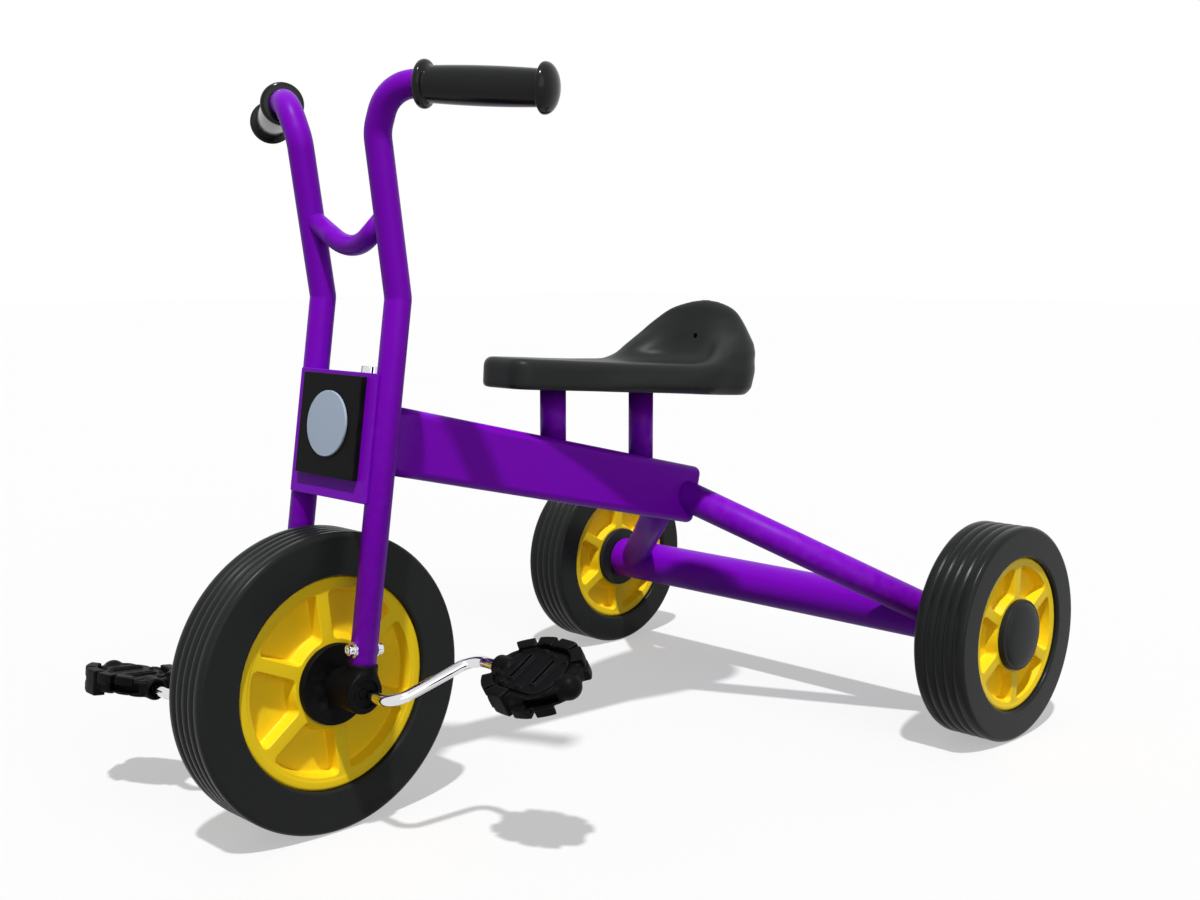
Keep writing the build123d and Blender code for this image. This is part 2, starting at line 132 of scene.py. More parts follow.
class TricycleSteeringSizes(bpy.types.PropertyGroup):
    rake: angle("Rake", "Fork tubes lean back going up", 8.15)
    tube: length("Tube radius", "Fork tube radius", 10)
    spread: length("Spread", "Fork tube from the middle", 47.6)
    set_back: length("Set back", "Fork plane behind the front axle", 2)
    foot: length("Foot", "Tube foot above the axle, along the tube", 17.6)
    kink: length("Kink", "Kink above the axle, along the tube", 287.4)
    kink_bend: length("Kink bend", "Bend radius at the kink", 14)
    bar_x: length("Bar X", "Grip line's start behind the front axle", 17)
    bar_y: length("Bar Y", "Grip line's start from the middle", 48.9)
    bar_up: length("Bar up", "Grip line's start above the kink", 150.8)
    bend_x: length("Bend X", "Lower handlebar bend behind the front axle", 25.9)
    bend_up: length("Bend up", "Lower handlebar bend above the kink", 117.8)
    bend_out: length("Bend out", "Upper handlebar bend along the grip line", 18)
    bar_bend: length("Bar bend", "Handlebar bend radius", 30)
    sweep: angle("Sweep", "Grips sweep back", 26.9)
    drop: angle("Drop", "Grips drop outward", 3.9)
    grip_start: length("Grip start", "Inner flange along the grip line", 45)
    grip_length: length("Grip length", "Grip from inner to end flange", 91.6)
    grip: length("Grip radius", "Grip body radius", 13)
    grip_flange: length("Grip flange", "Grip inner flange radius", 16.9)
    grip_end: length("Grip end", "Grip end radius", 17.6)
    brace: length("Brace radius", "Brace tube radius", 7.8)
    brace_up: length("Brace up", "Brace ends above the kink", 59.8)
    brace_dip: length("Brace dip", "Brace corner below its ends", 28)
    brace_bend: length("Brace bend", "Brace bend radius", 42)
    plate_low: length("Plate foot", "Head plate's foot above the axle", 136.8)
    plate_high: length("Plate top", "Head plate's top above the axle", 231.6)
    plate_half: length("Plate half", "Half the head plate's width", 48.6)
    plate: length("Plate", "Head plate thickness", 2.5)
    tongue: length("Tongue", "Tongue thickness", 3.6)
    tongue_round: length("Tongue end", "Tongue end radius", 16)
    steer_back: length("Steer back", "Steering axis behind the tubes", 16.9)
    lamp_low: length("Lamp foot", "Lamp plate's foot above the axle", 152.5)
    lamp_high: length("Lamp top", "Lamp plate's top above the axle", 228.6)
    lamp_half: length("Lamp half", "Half the lamp plate's width", 37)
    lamp: length("Lamp", "Lamp plate thickness", 5)
    lens_up: length("Lens up", "Lens centre above the axle", 191.6)
    lens: length("Lens radius", "Lens radius", 24.6)
    lens_thick: length("Lens", "Lens thickness", 2)
    housing: length("Housing", "Axle housing boss radius", 15.2)
    housing_in: length("Housing in", "Boss inner end from the middle", 27)
    housing_out: length("Housing out", "Boss outer end from the middle", 57.6)
    sleeve: length("Sleeve", "Housing sleeve radius", 11.4)
    foot_bolt: length("Foot bolt", "Foot bolt above the axle, along the tube", 30.7)


class TricyclePedalSizes(bpy.types.PropertyGroup):
    rod: length("Crank radius", "Crank rod radius", 4.2)
    throw: length("Throw", "Pedal spindle from the front axle", 69)
    turn: angle("Crank turn", "Left crank arm above level", 19)
    bend_in: length("Inner bend", "Inner crank corner from the middle", 90)
    bend_out: length("Outer bend", "Outer crank corner from the middle", 102)
    bend: length("Crank bend", "Crank bend radius", 16)
    across: length("Pedal", "Pedal middle from the middle", 169)
    spindle: length("Spindle", "Spindle end beyond the pedal's middle", 26)
    half_y: length("Half length", "Half the pedal's length", 38)
    half_x: length("Half width", "Half the pedal's width", 32)
    corner: length("Corner", "Pedal corner radius", 27)
    deck: length("Deck", "Deck thickness", 13)
    blocks_high: length("Block height", "Pedal height over its edge blocks", 20)
    blocks: count("Blocks", "Edge block places round the pedal", 12)
    gap: length("Gap", "Gap between edge blocks", 2.6)
    block_deep: length("Block depth", "Edge block depth", 9)
    flat: length("Flat", "Cut corner from the pedal's middle", 28)
    flat_turn: angle("Flat turn", "Direction of the cut corner", 29.7)
    barrel: length("Barrel", "Radius of the spindle's ball end and boss", 9.5)
    tip_left: angle("Left tip", "Left pedal tips forward", 30)
    tip_right: angle("Right tip", "Right pedal tips forward", -5)


class TricycleFrameSizes(bpy.types.PropertyGroup):
    beam_high: length("Beam height", "Beam height", 53)
    beam_wide: length("Beam width", "Beam width", 30.4)
    beam_corner: length("Beam corner", "Beam corner radius", 7)
    beam_end_x: length("Beam end", "Beam end ahead of the rear axle", 140.6)
    beam_end_z: length("Beam end height", "Beam middle's height at its end", 208.35)
    head: length("Head tube", "Head tube radius", 16.6)
    post: length("Post", "Seat post radius", 11.1)
    stay: length("Stay", "Stay radius", 14.1)
    stay_x: length("Stay X", "Stay start ahead of the rear axle", 151.3)
    stay_z: length("Stay Z", "Stay start height", 207.7)
    stay_end: length("Stay end", "Stay end from the middle", 204)
    tube: length("Axle tube", "Rear axle tube radius", 21.2)
    tube_half: length("Axle tube half", "Half the rear axle tube's length", 219)


class TricycleSeatSizes(bpy.types.PropertyGroup):
    x: length("Seat X", "Seat reference ahead of the rear axle", 280)
    z: length("Seat Z", "Seat underside there", 315.9)
    tilt: angle("Tilt", "Seat falls to the rear", 3.8)
    thick: length("Thickness", "Seat pan thickness", 24.6)
    nose: length("Nose", "Nose ahead of the reference", 95)
    nose_half: length("Nose half", "Half the nose's width", 26)
    wide_x: length("Wide", "Full width behind the reference", 95)
    half: length("Half width", "Half the seat's width", 70)
    rear: length("Rear", "Rear end behind the reference", 176)
    corner: length("Corner", "Rear corner radius", 40)
    back_thick: length("Back", "Back thickness at its foot", 44)
    wing_thick: length("Wing", "Wing thickness at its foot", 20)
    back_high: length("Back height", "Back height above the pan", 61)
    lean: angle("Lean", "Outside of the back leans in", 13)
    hole: length("Hole", "Square hole in the back", 4.6)
    hole_up: length("Hole up", "Hole height above the pan", 26)


class TricycleColours(bpy.types.PropertyGroup):
    paint: colour("Paint", "Frame paint", 128, 4, 196)
    rim: colour("Rim", "Wheel rims", 255, 215, 26)
    tyre: colour("Tyre", "Tyre rubber", 32, 34, 33)
    seat: colour("Seat", "Seat plastic", 40, 42, 41)
    grip: colour("Grip", "Grips", 25, 26, 26)
    black: colour("Black", "Pedals, hubs and axle housings", 13, 13, 14)
    lamp: colour("Lamp", "Lamp plate", 12, 14, 12)
    lens: colour("Lens", "Lamp disc", 176, 191, 211)
    metal: colour("Metal", "Bright metal", 222, 222, 224)
    floor: colour("Floor", "Floor and backdrop", 252, 252, 252)


GROUPS = (
    ("tricycle_wheels", TricycleWheelSizes),
    ("tricycle_steering", TricycleSteeringSizes),
    ("tricycle_pedals", TricyclePedalSizes),
    ("tricycle_frame", TricycleFrameSizes),
    ("tricycle_seat", TricycleSeatSizes),
    ("tricycle_colours", TricycleColours),
)


# Node groups shared by the finishes

def place(tree, kind, preset=(), **values):
    """A new node with its settings, and with preset values on its inputs."""
    node = tree.nodes.new(kind)
    for key, value in values.items():
        setattr(node, key, value)
    for key in preset:
        node.inputs[key].default_value = preset[key]
    return node


def wire(tree, *runs):
    """Link nodes, by runs of (node, output, node, input)."""
    for start, output, end, into in runs:
        tree.links.new(start.outputs[output], end.inputs[into])


def new_group(kind, name, inputs, output):
    """A node group with its end nodes. Inputs are (label, socket, default if any), the output is (label, socket)."""
    tree = bpy.data.node_groups.new(name, kind)
    for label, socket, *default in inputs:
        made = tree.interface.new_socket(label, in_out="INPUT", socket_type="NodeSocket" + socket)
        if default:
            made.default_value = default[0]
    tree.interface.new_socket(output[0], in_out="OUTPUT", socket_type="NodeSocket" + output[1])
    return tree, place(tree, "NodeGroupInput"), place(tree, "NodeGroupOutput")


def soft_mottle():
    inputs = (("Vector", "Vector"), ("Scale", "Float", 20.0), ("Fine share", "Float", 0.35))
    tree, inp, out = new_group("ShaderNodeTree", "Soft mottle", inputs, ("Value", "Float"))
    broad = place(tree, "ShaderNodeTexNoise", {"Detail": 3})
    fine = place(tree, "ShaderNodeTexNoise", {"Detail": 4})
    finer = place(tree, "ShaderNodeMath", {1: 9}, operation="MULTIPLY")
    mix = place(tree, "ShaderNodeMix", data_type="FLOAT")
    wire(
        tree,
        (inp, "Vector", broad, "Vector"), (inp, "Vector", fine, "Vector"), (inp, "Scale", broad, "Scale"),
        (inp, "Scale", finer, 0), (finer, 0, fine, "Scale"), (inp, "Fine share", mix, 0),
        (broad, 0, mix, 2), (fine, 0, mix, 3), (mix, 0, out, "Value"),
    )


def fine_grain():
    inputs = (("Vector", "Vector"), ("Scale", "Float", 900.0), ("Pebble", "Float", 0.4))
    tree, inp, out = new_group("ShaderNodeTree", "Fine grain", inputs, ("Height", "Float"))
    noise = place(tree, "ShaderNodeTexNoise", {"Detail": 2})
    cells = place(tree, "ShaderNodeTexVoronoi", feature="SMOOTH_F1")
    mix = place(tree, "ShaderNodeMix", data_type="FLOAT")
    for node in (noise, cells):
        wire(tree, (inp, "Vector", node, "Vector"), (inp, "Scale", node, "Scale"))
    wire(
        tree,
        (inp, "Pebble", mix, 0), (noise, 0, mix, 2), (cells, "Distance", mix, 3), (mix, 0, out, "Height"),
    )


def edge_rub():
    inputs = (("Vector", "Vector"), ("Edge", "Float", 0.0), ("Scale", "Float", 120.0), ("Amount", "Float", 0.5))
    tree, inp, out = new_group("ShaderNodeTree", "Edge rub", inputs, ("Mask", "Float"))
    noise = place(tree, "ShaderNodeTexNoise", {"Detail": 5})
    ramp = place(tree, "ShaderNodeMapRange", {"From Min": 0.42, "From Max": 0.66})
    by_edge = place(tree, "ShaderNodeMath", operation="MULTIPLY")
    by_amount = place(tree, "ShaderNodeMath", operation="MULTIPLY", use_clamp=True)
    wire(
        tree,
        (inp, "Vector", noise, "Vector"), (inp, "Scale", noise, "Scale"), (noise, 0, ramp, "Value"),
        (ramp, 0, by_edge, 0), (inp, "Edge", by_edge, 1), (by_edge, 0, by_amount, 0),
        (inp, "Amount", by_amount, 1), (by_amount, 0, out, "Mask"),
    )


def scaled(tone, by):
    return (*[min(1, c * by) for c in tone], 1)


def finish(name, base, spread, rough, grain, rub, specular, metallic):
    """A finish: tone and roughness that vary softly, a fine grain, and rubbed edges."""
    made = bpy.data.materials.new(name)
    made.use_nodes = True
    tree = made.node_tree
    groups = bpy.data.node_groups
    bsdf = tree.nodes["Principled BSDF"]
    bsdf.inputs["Metallic"].default_value = metallic
    bsdf.inputs["Specular IOR Level"].default_value = specular
    where = place(tree, "ShaderNodeTexCoord")
    cloud = place(tree, "ShaderNodeGroup", {"Scale": MOTTLE_SCALE}, node_tree=groups["Soft mottle"])
    tones = {6: scaled(base, 1 - spread), 7: scaled(base, 1 + spread)}
    tone = place(tree, "ShaderNodeMix", tones, data_type="RGBA")
    edge = place(tree, "ShaderNodeAttribute", attribute_name="edge")
    worn = place(tree, "ShaderNodeGroup", {"Amount": rub[0]}, node_tree=groups["Edge rub"])
    rubbed = place(tree, "ShaderNodeMix", {7: (*rub[1], 1)}, data_type="RGBA")
    spans = {"From Min": 0.3, "From Max": 0.7, "To Min": rough[0], "To Max": rough[1]}
    dull = place(tree, "ShaderNodeMapRange", spans)
    worn_dull = place(tree, "ShaderNodeMath", {1: 0.15}, operation="MULTIPLY_ADD")
    pores = {"Scale": grain[0], "Pebble": grain[2]}
    skin_grain = place(tree, "ShaderNodeGroup", pores, node_tree=groups["Fine grain"])
    bump = place(tree, "ShaderNodeBump", {"Strength": grain[1], "Distance": 0.2 * MM})
    for node in (cloud, worn, skin_grain):
        wire(tree, (where, "Object", node, "Vector"))
    wire(
        tree,
        (cloud, "Value", tone, 0), (edge, "Fac", worn, "Edge"), (worn, "Mask", rubbed, 0), (tone, 2, rubbed, 6),
        (rubbed, 2, bsdf, "Base Color"), (cloud, "Value", dull, "Value"), (worn, "Mask", worn_dull, 0),
        (dull, 0, worn_dull, 2), (worn_dull, 0, bsdf, "Roughness"), (skin_grain, "Height", bump, "Height"),
        (bump, "Normal", bsdf, "Normal"),
    )


# Mesh helpers

def rounded(points, radii, steps=5, closed=False):
    """A line through points with its corners rounded, as a list of points."""
    out = []
    n = len(points)
    pts = [Vector(p) for p in points]
    for i, p in enumerate(pts):
        r = radii[i] if isinstance(radii, (list, tuple)) else radii
        if r <= 0 or (not closed and i in (0, n - 1)):
            out.append(p)
            continue
        u, v = (pts[i - 1] - p).normalized(), (pts[(i + 1) % n] - p).normalized()
        half = u.angle(v) / 2
        reach = r / math.tan(half)
        centre = p + (u + v).normalized() * (r / math.sin(half))
        a, b = p + u * reach - centre, p + v * reach - centre
        whole = a.angle(b)
        for k in range(steps + 1):
            t = k / steps
            turn = a * math.sin((1 - t) * whole) + b * math.sin(t * whole)
            out.append(centre + turn / math.sin(whole))
    return out


def section(rows, steps):
    """A rounded section from rows of (radius, place along the axis, corner radius in millimetres)."""
    return rounded([row[:2] for row in rows], [row[2] * MM for row in rows], steps)


def bush(bore, radius, half, corner, steps):
    """The section of a bored round body, from its bore round both of its rounded ends."""
    return section(((bore, -half, 0), (radius, -half, corner), (radius, half, corner), (bore, half, 0)), steps)


def arc(centre, radius, start, stop, steps):
    turns = [start + (stop - start) * k / steps for k in range(steps + 1)]
    return [(centre[0] + radius * math.cos(a), centre[1] + radius * math.sin(a)) for a in turns]


def strip(rows, columns, closed=False):
    """Faces between neighbouring rows of points, where each row holds the same number of columns."""
    span = columns if closed else columns - 1
    faces = []
    for i in range(rows - 1):
        for k in range(span):
            a, b = i * columns + k, i * columns + (k + 1) % columns
            faces.append((a, b, b + columns, a + columns))
    return faces


def turned(profile, segments, closed=False):
    """Vertices and faces of a profile of (radius, y) turned about Y. Ends on the axis close to one point."""
    p = np.array([(q[0], q[1]) for q in profile], float)
    a = np.linspace(0, 2 * np.pi, segments, endpoint=False)
    x, z = np.outer(np.cos(a), p[:, 0]), np.outer(np.sin(a), p[:, 0])
    verts = np.stack([x, np.tile(p[:, 1], (segments, 1)), z], -1).reshape(-1, 3)
    whole = len(verts)
    return verts, [tuple(i % whole for i in f) for f in strip(segments + 1, len(p), closed)]


def swept_bar(outline, stations):
    """Closed bar through stations of (distance along, inset), with outline(inset) giving (x, z) points."""
    n = len(outline(0))
    verts = [(x, y, z) for y, inset in stations for x, z in outline(inset)]
    ends = [tuple(range(n)), tuple(range(len(verts) - n, len(verts)))]
    return np.array(verts), strip(len(stations), n, True) + ends


def rounded_plate(outline, low, high, edge, steps=3):
    """A flat plate with rounded edges: outline(inset) gives (x, z) points, y runs from low to high."""
    turns = [math.pi / 2 * k / steps for k in range(steps + 1)]
    bend = [(edge * (1 - math.cos(a)), edge * (1 - math.sin(a))) for a in turns]
    return swept_bar(outline, [(low + a, b) for a, b in bend] + [(high - a, b) for a, b in reversed(bend)])


def box_outline(half_x, low_z, high_z, corner, steps=4):
    def outline(inset):
        x, z0, z1 = half_x - inset, low_z + inset, high_z - inset
        corners = [(x, z0), (x, z1), (-x, z1), (-x, z0)]
        return [(p.x, p.y) for p in rounded(corners, max(corner - inset, 0.05 * MM), steps, True)]
    return outline


def joined(*shapes):
    verts, faces, base = [], [], 0
    for v, f in shapes:
        verts.append(np.asarray(v, float))
        faces += [tuple(i + base for i in q) for q in f]
        base += len(v)
    return np.concatenate(verts), faces


def moved(shape, matrix):
    v, f = shape
    m = np.array(matrix)
    return np.asarray(v, float) @ m[:3, :3].T + m[:3, 3], f


def plain_mesh(name, verts, faces, edges=()):
    mesh = bpy.data.meshes.new(name)
    mesh.from_pydata([tuple(p) for p in verts], edges, faces)
    return mesh


def new_mesh(name, shape, matrix=None):
    mesh = plain_mesh(name, *(moved(shape, matrix) if matrix is not None else shape))
    tidy(mesh)
    return mesh


def tidy(mesh):
    """Weld doubled points, drop faces without area and turn all faces outward."""
    bm = bmesh.new()
    bm.from_mesh(mesh)
    bmesh.ops.remove_doubles(bm, verts=bm.verts, dist=2e-6)
    bmesh.ops.dissolve_degenerate(bm, edges=bm.edges, dist=1e-7)
    bmesh.ops.recalc_face_normals(bm, faces=bm.faces)
    bm.to_mesh(mesh)
    bm.free()


def eased(mesh, rounds):
    """A light smoothing of a moulded mesh."""
    bm = bmesh.new()
    bm.from_mesh(mesh)
    for _ in range(rounds):
        bmesh.ops.smooth_vert(bm, verts=bm.verts, factor=0.5, use_axis_x=True, use_axis_y=True, use_axis_z=True)
    bm.to_mesh(mesh)
    bm.free()
    return mesh


def read(items, key, width, kind=float):
    """One property of all items of a mesh, as an array with so many columns."""
    out = np.zeros(len(items) * width, kind)
    items.foreach_get(key, out)
    return out.reshape(-1, width) if width > 1 else out


def shade(mesh):
    """Smooth shading that keeps flats flat, and an edge attribute for the finishes."""
    flat_until, full_over = 0.08, 0.2
    mesh.update()
    nv, nf = len(mesh.vertices), len(mesh.polygons)
    face_normal = read(mesh.polygons, "normal", 3) * read(mesh.polygons, "area", 1)[:, None]
    loops = read(mesh.loops, "vertex_index", 1, np.int32)
    co = read(mesh.vertices, "co", 3)
    n = np.zeros((nv, 3))
    np.add.at(n, loops, np.repeat(face_normal, read(mesh.polygons, "loop_total", 1, np.int32), 0))
    n /= np.maximum(np.linalg.norm(n, axis=1), 1e-12)[:, None]
    a, b = read(mesh.edges, "vertices", 2, np.int32).T
    d = co[a] - co[b]
    d /= np.maximum(np.linalg.norm(d, axis=1), 1e-12)[:, None]
    rise, degree = np.zeros(nv), np.zeros(nv)
    for end, way in ((a, 1), (b, -1)):
        np.add.at(rise, end, way * (n[end] * d).sum(1))
        np.add.at(degree, end, 1)
    edge = np.clip((rise / np.maximum(degree, 1) - flat_until) / full_over, 0, 1)
    layer = mesh.attributes.get("edge") or mesh.attributes.new("edge", "FLOAT", "POINT")
    layer.data.foreach_set("value", edge.astype(np.float32))
    mesh.polygons.foreach_set("use_smooth", np.ones(nf, bool))
    mesh.normals_split_custom_set_from_vertices([tuple(v) for v in n])
    mesh.update()


def piece(name, mesh, body, slot, *nodes):
    """A finished piece: its mesh in place, its finish, its body, its slot and the CAD nodes it stands for."""
    mesh.name = name
    shade(mesh)
    mesh.materials.clear()
    mesh.materials.append(bpy.data.materials[slot])
    made = bpy.data.objects.new(name, mesh)
    bpy.context.scene.collection.objects.link(made)
    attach(made, body)
    if nodes:
        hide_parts(*nodes)
    return made


# Geometry Nodes trees

def bent_tube_tree():
    inputs = (("Path", "Geometry"), ("Radius", "Float"), ("Sides", "Int"), ("Finish", "Material"))
    tree, inp, out = new_group("GeometryNodeTree", "Bent tube", inputs, ("Tube", "Geometry"))
    tree.is_modifier = True
    path = place(tree, "GeometryNodeMeshToCurve")
    ring = place(tree, "GeometryNodeCurvePrimitiveCircle")
    body = place(tree, "GeometryNodeCurveToMesh", {"Fill Caps": True})
    real = place(tree, "GeometryNodeRealizeInstances")
    paint = place(tree, "GeometryNodeSetMaterial")
    wire(
        tree,
        (inp, "Path", path, "Mesh"), (path, "Curve", body, "Curve"),
        (inp, "Radius", ring, "Radius"), (inp, "Sides", ring, "Resolution"),
        (ring, "Curve", body, "Profile Curve"), (body, "Mesh", real, "Geometry"),
        (real, "Geometry", paint, "Geometry"), (inp, "Finish", paint, "Material"),
        (paint, "Geometry", out, "Tube"),
    )


def ring_tree():
    inputs = (("Sector", "Geometry"), ("Copies", "Int"), ("Start", "Float"), ("Finish", "Material"))
    tree, inp, out = new_group("GeometryNodeTree", "Ring of copies", inputs, ("Ring", "Geometry"))
    tree.is_modifier = True
    points = place(tree, "GeometryNodePoints")
    copy = place(tree, "GeometryNodeInstanceOnPoints")
    index = place(tree, "GeometryNodeInputIndex")
    step = place(tree, "ShaderNodeMath", {0: 2 * math.pi}, operation="DIVIDE")
    times = place(tree, "ShaderNodeMath", operation="MULTIPLY_ADD")
    turn = place(tree, "FunctionNodeAxisAngleToRotation", {"Axis": (0, 1, 0)})
    real = place(tree, "GeometryNodeRealizeInstances")
    weld = place(tree, "GeometryNodeMergeByDistance", {"Distance": 5e-6})
    paint = place(tree, "GeometryNodeSetMaterial")
    wire(
        tree,
        (inp, "Copies", points, "Count"), (inp, "Copies", step, 1), (index, 0, times, 0), (step, 0, times, 1),
        (inp, "Start", times, 2), (times, 0, turn, "Angle"), (points, 0, copy, "Points"),
        (inp, "Sector", copy, "Instance"), (turn, 0, copy, "Rotation"), (copy, 0, real, "Geometry"),
        (real, 0, weld, "Geometry"), (weld, 0, paint, "Geometry"), (inp, "Finish", paint, "Material"),
        (paint, 0, out, "Ring"),
    )


def evaluated(holder):
    """The plain mesh of an object with its modifiers applied. The object is then removed."""
    made = bpy.data.meshes.new_from_object(holder.evaluated_get(bpy.context.evaluated_depsgraph_get()))
    bpy.data.objects.remove(holder)
    return made


def held(name, mesh):
    holder = bpy.data.objects.new(name, mesh)
    bpy.context.scene.collection.objects.link(holder)
    return holder


def grown(tree_name, mesh, **values):
    """The plain mesh that a Geometry Nodes tree makes of a mesh, with its named inputs."""
    holder = held(tree_name, mesh)
    mod = holder.modifiers.new(tree_name, "NODES")
    mod.node_group = bpy.data.node_groups[tree_name]
    for item in mod.node_group.interface.items_tree:
        if item.in_out == "INPUT" and item.name in values:
            mod[item.identifier] = values[item.name]
    made = evaluated(holder)
    if not made.polygons:
        raise RuntimeError(tree_name + " made nothing")
    tidy(made)
    return made


def tube(points, radii, radius, slot, sides=40, steps=12):
    line = rounded(points, [0, *radii, 0], steps)
    path = plain_mesh("path", line, [], [(i, i + 1) for i in range(len(line) - 1)])
    return grown("Bent tube", path, Radius=radius, Sides=sides, Finish=bpy.data.materials[slot])


# Moulded pieces from smooth fields

def round_max(a, b, r):
    u, v = np.maximum(a + r, 0), np.maximum(b + r, 0)
    return np.minimum(-r, np.maximum(a, b)) + np.sqrt(u * u + v * v)


def round_min(a, b, r):
    return -round_max(-a, -b, r)


def along_axis(axis, first, second, third):
    """Three values set in order from the given axis on, for use as an index."""
    out = [None] * 3
    out[axis], out[(axis + 1) % 3], out[(axis + 2) % 3] = first, second, third
    return tuple(out)


def skin(field, low, high, step):
    """Closed mesh of the surface where field(x, y, z) is zero, one vertex in each crossed cell."""
    low, high = np.array(low, float), np.array(high, float)
    n = np.ceil((high - low) / step).astype(int) + 1
    grid = [low[i] + step * np.arange(n[i]) for i in range(3)]
    d = field(*np.meshgrid(*grid, indexing="ij"))
    c = n - 1
    total, hits = np.zeros((*c, 3)), np.zeros(c)
    for axis in range(3):
        u, v = (axis + 1) % 3, (axis + 2) % 3
        for i, j in ((0, 0), (0, 1), (1, 0), (1, 1)):
            beside = slice(i, c[u] + i), slice(j, c[v] + j)
            da = d[along_axis(axis, slice(0, c[axis]), *beside)]
            db = d[along_axis(axis, slice(1, n[axis]), *beside)]
            cross = (da < 0) != (db < 0)
            t = np.where(cross, da / np.where(da == db, 1, da - db), 0)
            hits += cross
            for k, at in enumerate(along_axis(axis, t, float(i), float(j))):
                total[..., k] += cross * at
    used = hits > 0
    index = np.full(c, -1)
    index[used] = np.arange(used.sum())
    verts = low + step * (np.argwhere(used) + total[used] / hits[used][:, None])
    faces = []
    for axis in range(3):
        u, v = (axis + 1) % 3, (axis + 2) % 3
        beside = slice(1, c[u]), slice(1, c[v])
        ina = d[along_axis(axis, slice(0, c[axis]), *beside)] < 0
        inb = d[along_axis(axis, slice(1, n[axis]), *beside)] < 0
        spots = np.argwhere(ina != inb)
        if not len(spots):
            continue
        flip = inb[tuple(spots.T)]
        quads = []
        for i, j in ((0, 0), (1, 0), (1, 1), (0, 1)):
            cell = spots.copy()
            cell[:, u] += i
            cell[:, v] += j
            quads.append(index[tuple(cell.T)])
        quads = np.stack(quads, 1)
        quads[flip] = quads[flip][:, ::-1]
        faces += [tuple(q) for q in quads.tolist()]
    return verts, faces


# Places that several pieces share

def front_axle():
    return middle("front_tyre")


def rear_axle():
    return Vector((middle("rear_tyre_left").x, 0, middle("rear_tyre_left").z))


def axes(x, y, z, origin=(0, 0, 0)):
    """A matrix that takes the local axes to these directions, at an origin."""
    m = Matrix((x, y, z)).transposed().to_4x4()
    m.translation = Vector(origin)
    return m


def facing(origin=(0, 0, 0)):
    """A place whose local Y looks forward and whose local X runs to the left."""
    return axes((0, 1, 0), (1, 0, 0), (0, 0, 1), origin)


def upright(origin):
    """A place whose local Y stands up."""
    return axes((1, 0, 0), (0, 0, 1), (0, -1, 0), origin)


def fork_frame(s):
    fore = Vector((math.cos(s.rake), 0, math.sin(s.rake)))
    up = Vector((-math.sin(s.rake), 0, math.cos(s.rake)))
    return axes(fore, (0, 1, 0), up, front_axle() - fore * s.set_back)


def grip_line(s):
    kink = fork_frame(s) @ Vector((0, 0, s.kink))
    start = Vector((front_axle().x - s.bar_x, s.bar_y, kink.z + s.bar_up))
    level = math.cos(s.drop)
    return start, Vector((-math.sin(s.sweep) * level, math.cos(s.sweep) * level, -math.sin(s.drop)))


def mirrored(p, side):
    return Vector((p.x, p.y * side, p.z))


def outward(side):
    """A half turn about Z for the right side, so that local Y always points away from the middle."""
    return Matrix.Rotation(math.pi if side < 0 else 0, 4, "Z")


def throw_vector(s):
    return Vector((-math.cos(s.turn), 0, math.sin(s.turn))) * s.throw


# Operators, one for each piece or group of like pieces

class Maker:
    bl_options = {"REGISTER", "UNDO"}


class TRICYCLE_OT_finishes(Maker, bpy.types.Operator):
    """Make the node groups, the trees and the finishes, and dress the CAD nodes"""
    bl_idname = "tricycle.finishes"
    bl_label = "Finishes"

    def execute(self, context):
        soft_mottle(), fine_grain(), edge_rub(), bent_tube_tree(), ring_tree()
        c = context.scene.tricycle_colours
        pale = linear(92, 92, 94)
        # name, colour, tone spread, roughness from and to, grain scale, strength and pebble,
        # rub amount and colour, specular level, metallic
        rows = (
            ("frame_paint", c.paint, 0.05, (0.36, 0.46), (520, 0.05, 0.3), (0.2, linear(160, 70, 215)), 0.10, 0),
            ("rim_yellow", c.rim, 0.04, (0.36, 0.48), (1400, 0.08, 0.5), (0.25, linear(255, 222, 96)), 0.2, 0),
            ("tyre_rubber", c.tyre, 0.12, (0.24, 0.34), (1500, 0.10, 0.6), (0.2, pale), 0.10, 0),
            ("grip_rubber", c.grip, 0.10, (0.12, 0.20), (1300, 0.04, 0.5), (0.15, pale), 0.17, 0),
            ("seat_plastic", c.seat, 0.08, (0.34, 0.44), (1500, 0.05, 0.6), (0.15, pale), 0.09, 0),
            ("black_plastic", c.black, 0.14, (0.36, 0.52), (1300, 0.12, 0.6), (0.2, pale), 0.05, 0),
            ("lamp_black", c.lamp, 0.10, (0.42, 0.55), (1500, 0.08, 0.5), (0.2, pale), 0.05, 0),
            ("lamp_pale", c.lens, 0.03, (0.45, 0.6), (1800, 0.05, 0.5), (0.2, linear(190, 200, 212)), 0.2, 0),
            ("bright_metal", c.metal, 0.05, (0.05, 0.14), (700, 0.03, 0.2), (0.2, linear(170, 168, 164)), 0.5, 1),
        )
        for node in frame["nodes"].values():
            node.data.materials.clear()
        for name, *looks in rows:
            if name in bpy.data.materials:
                bpy.data.materials.remove(bpy.data.materials[name])
            finish(name, *looks)
        for row in frame["record"]["subparts"]:
            frame["nodes"][row["node"]].data.materials.append(bpy.data.materials[row["material_slot"]])
        return {"FINISHED"}


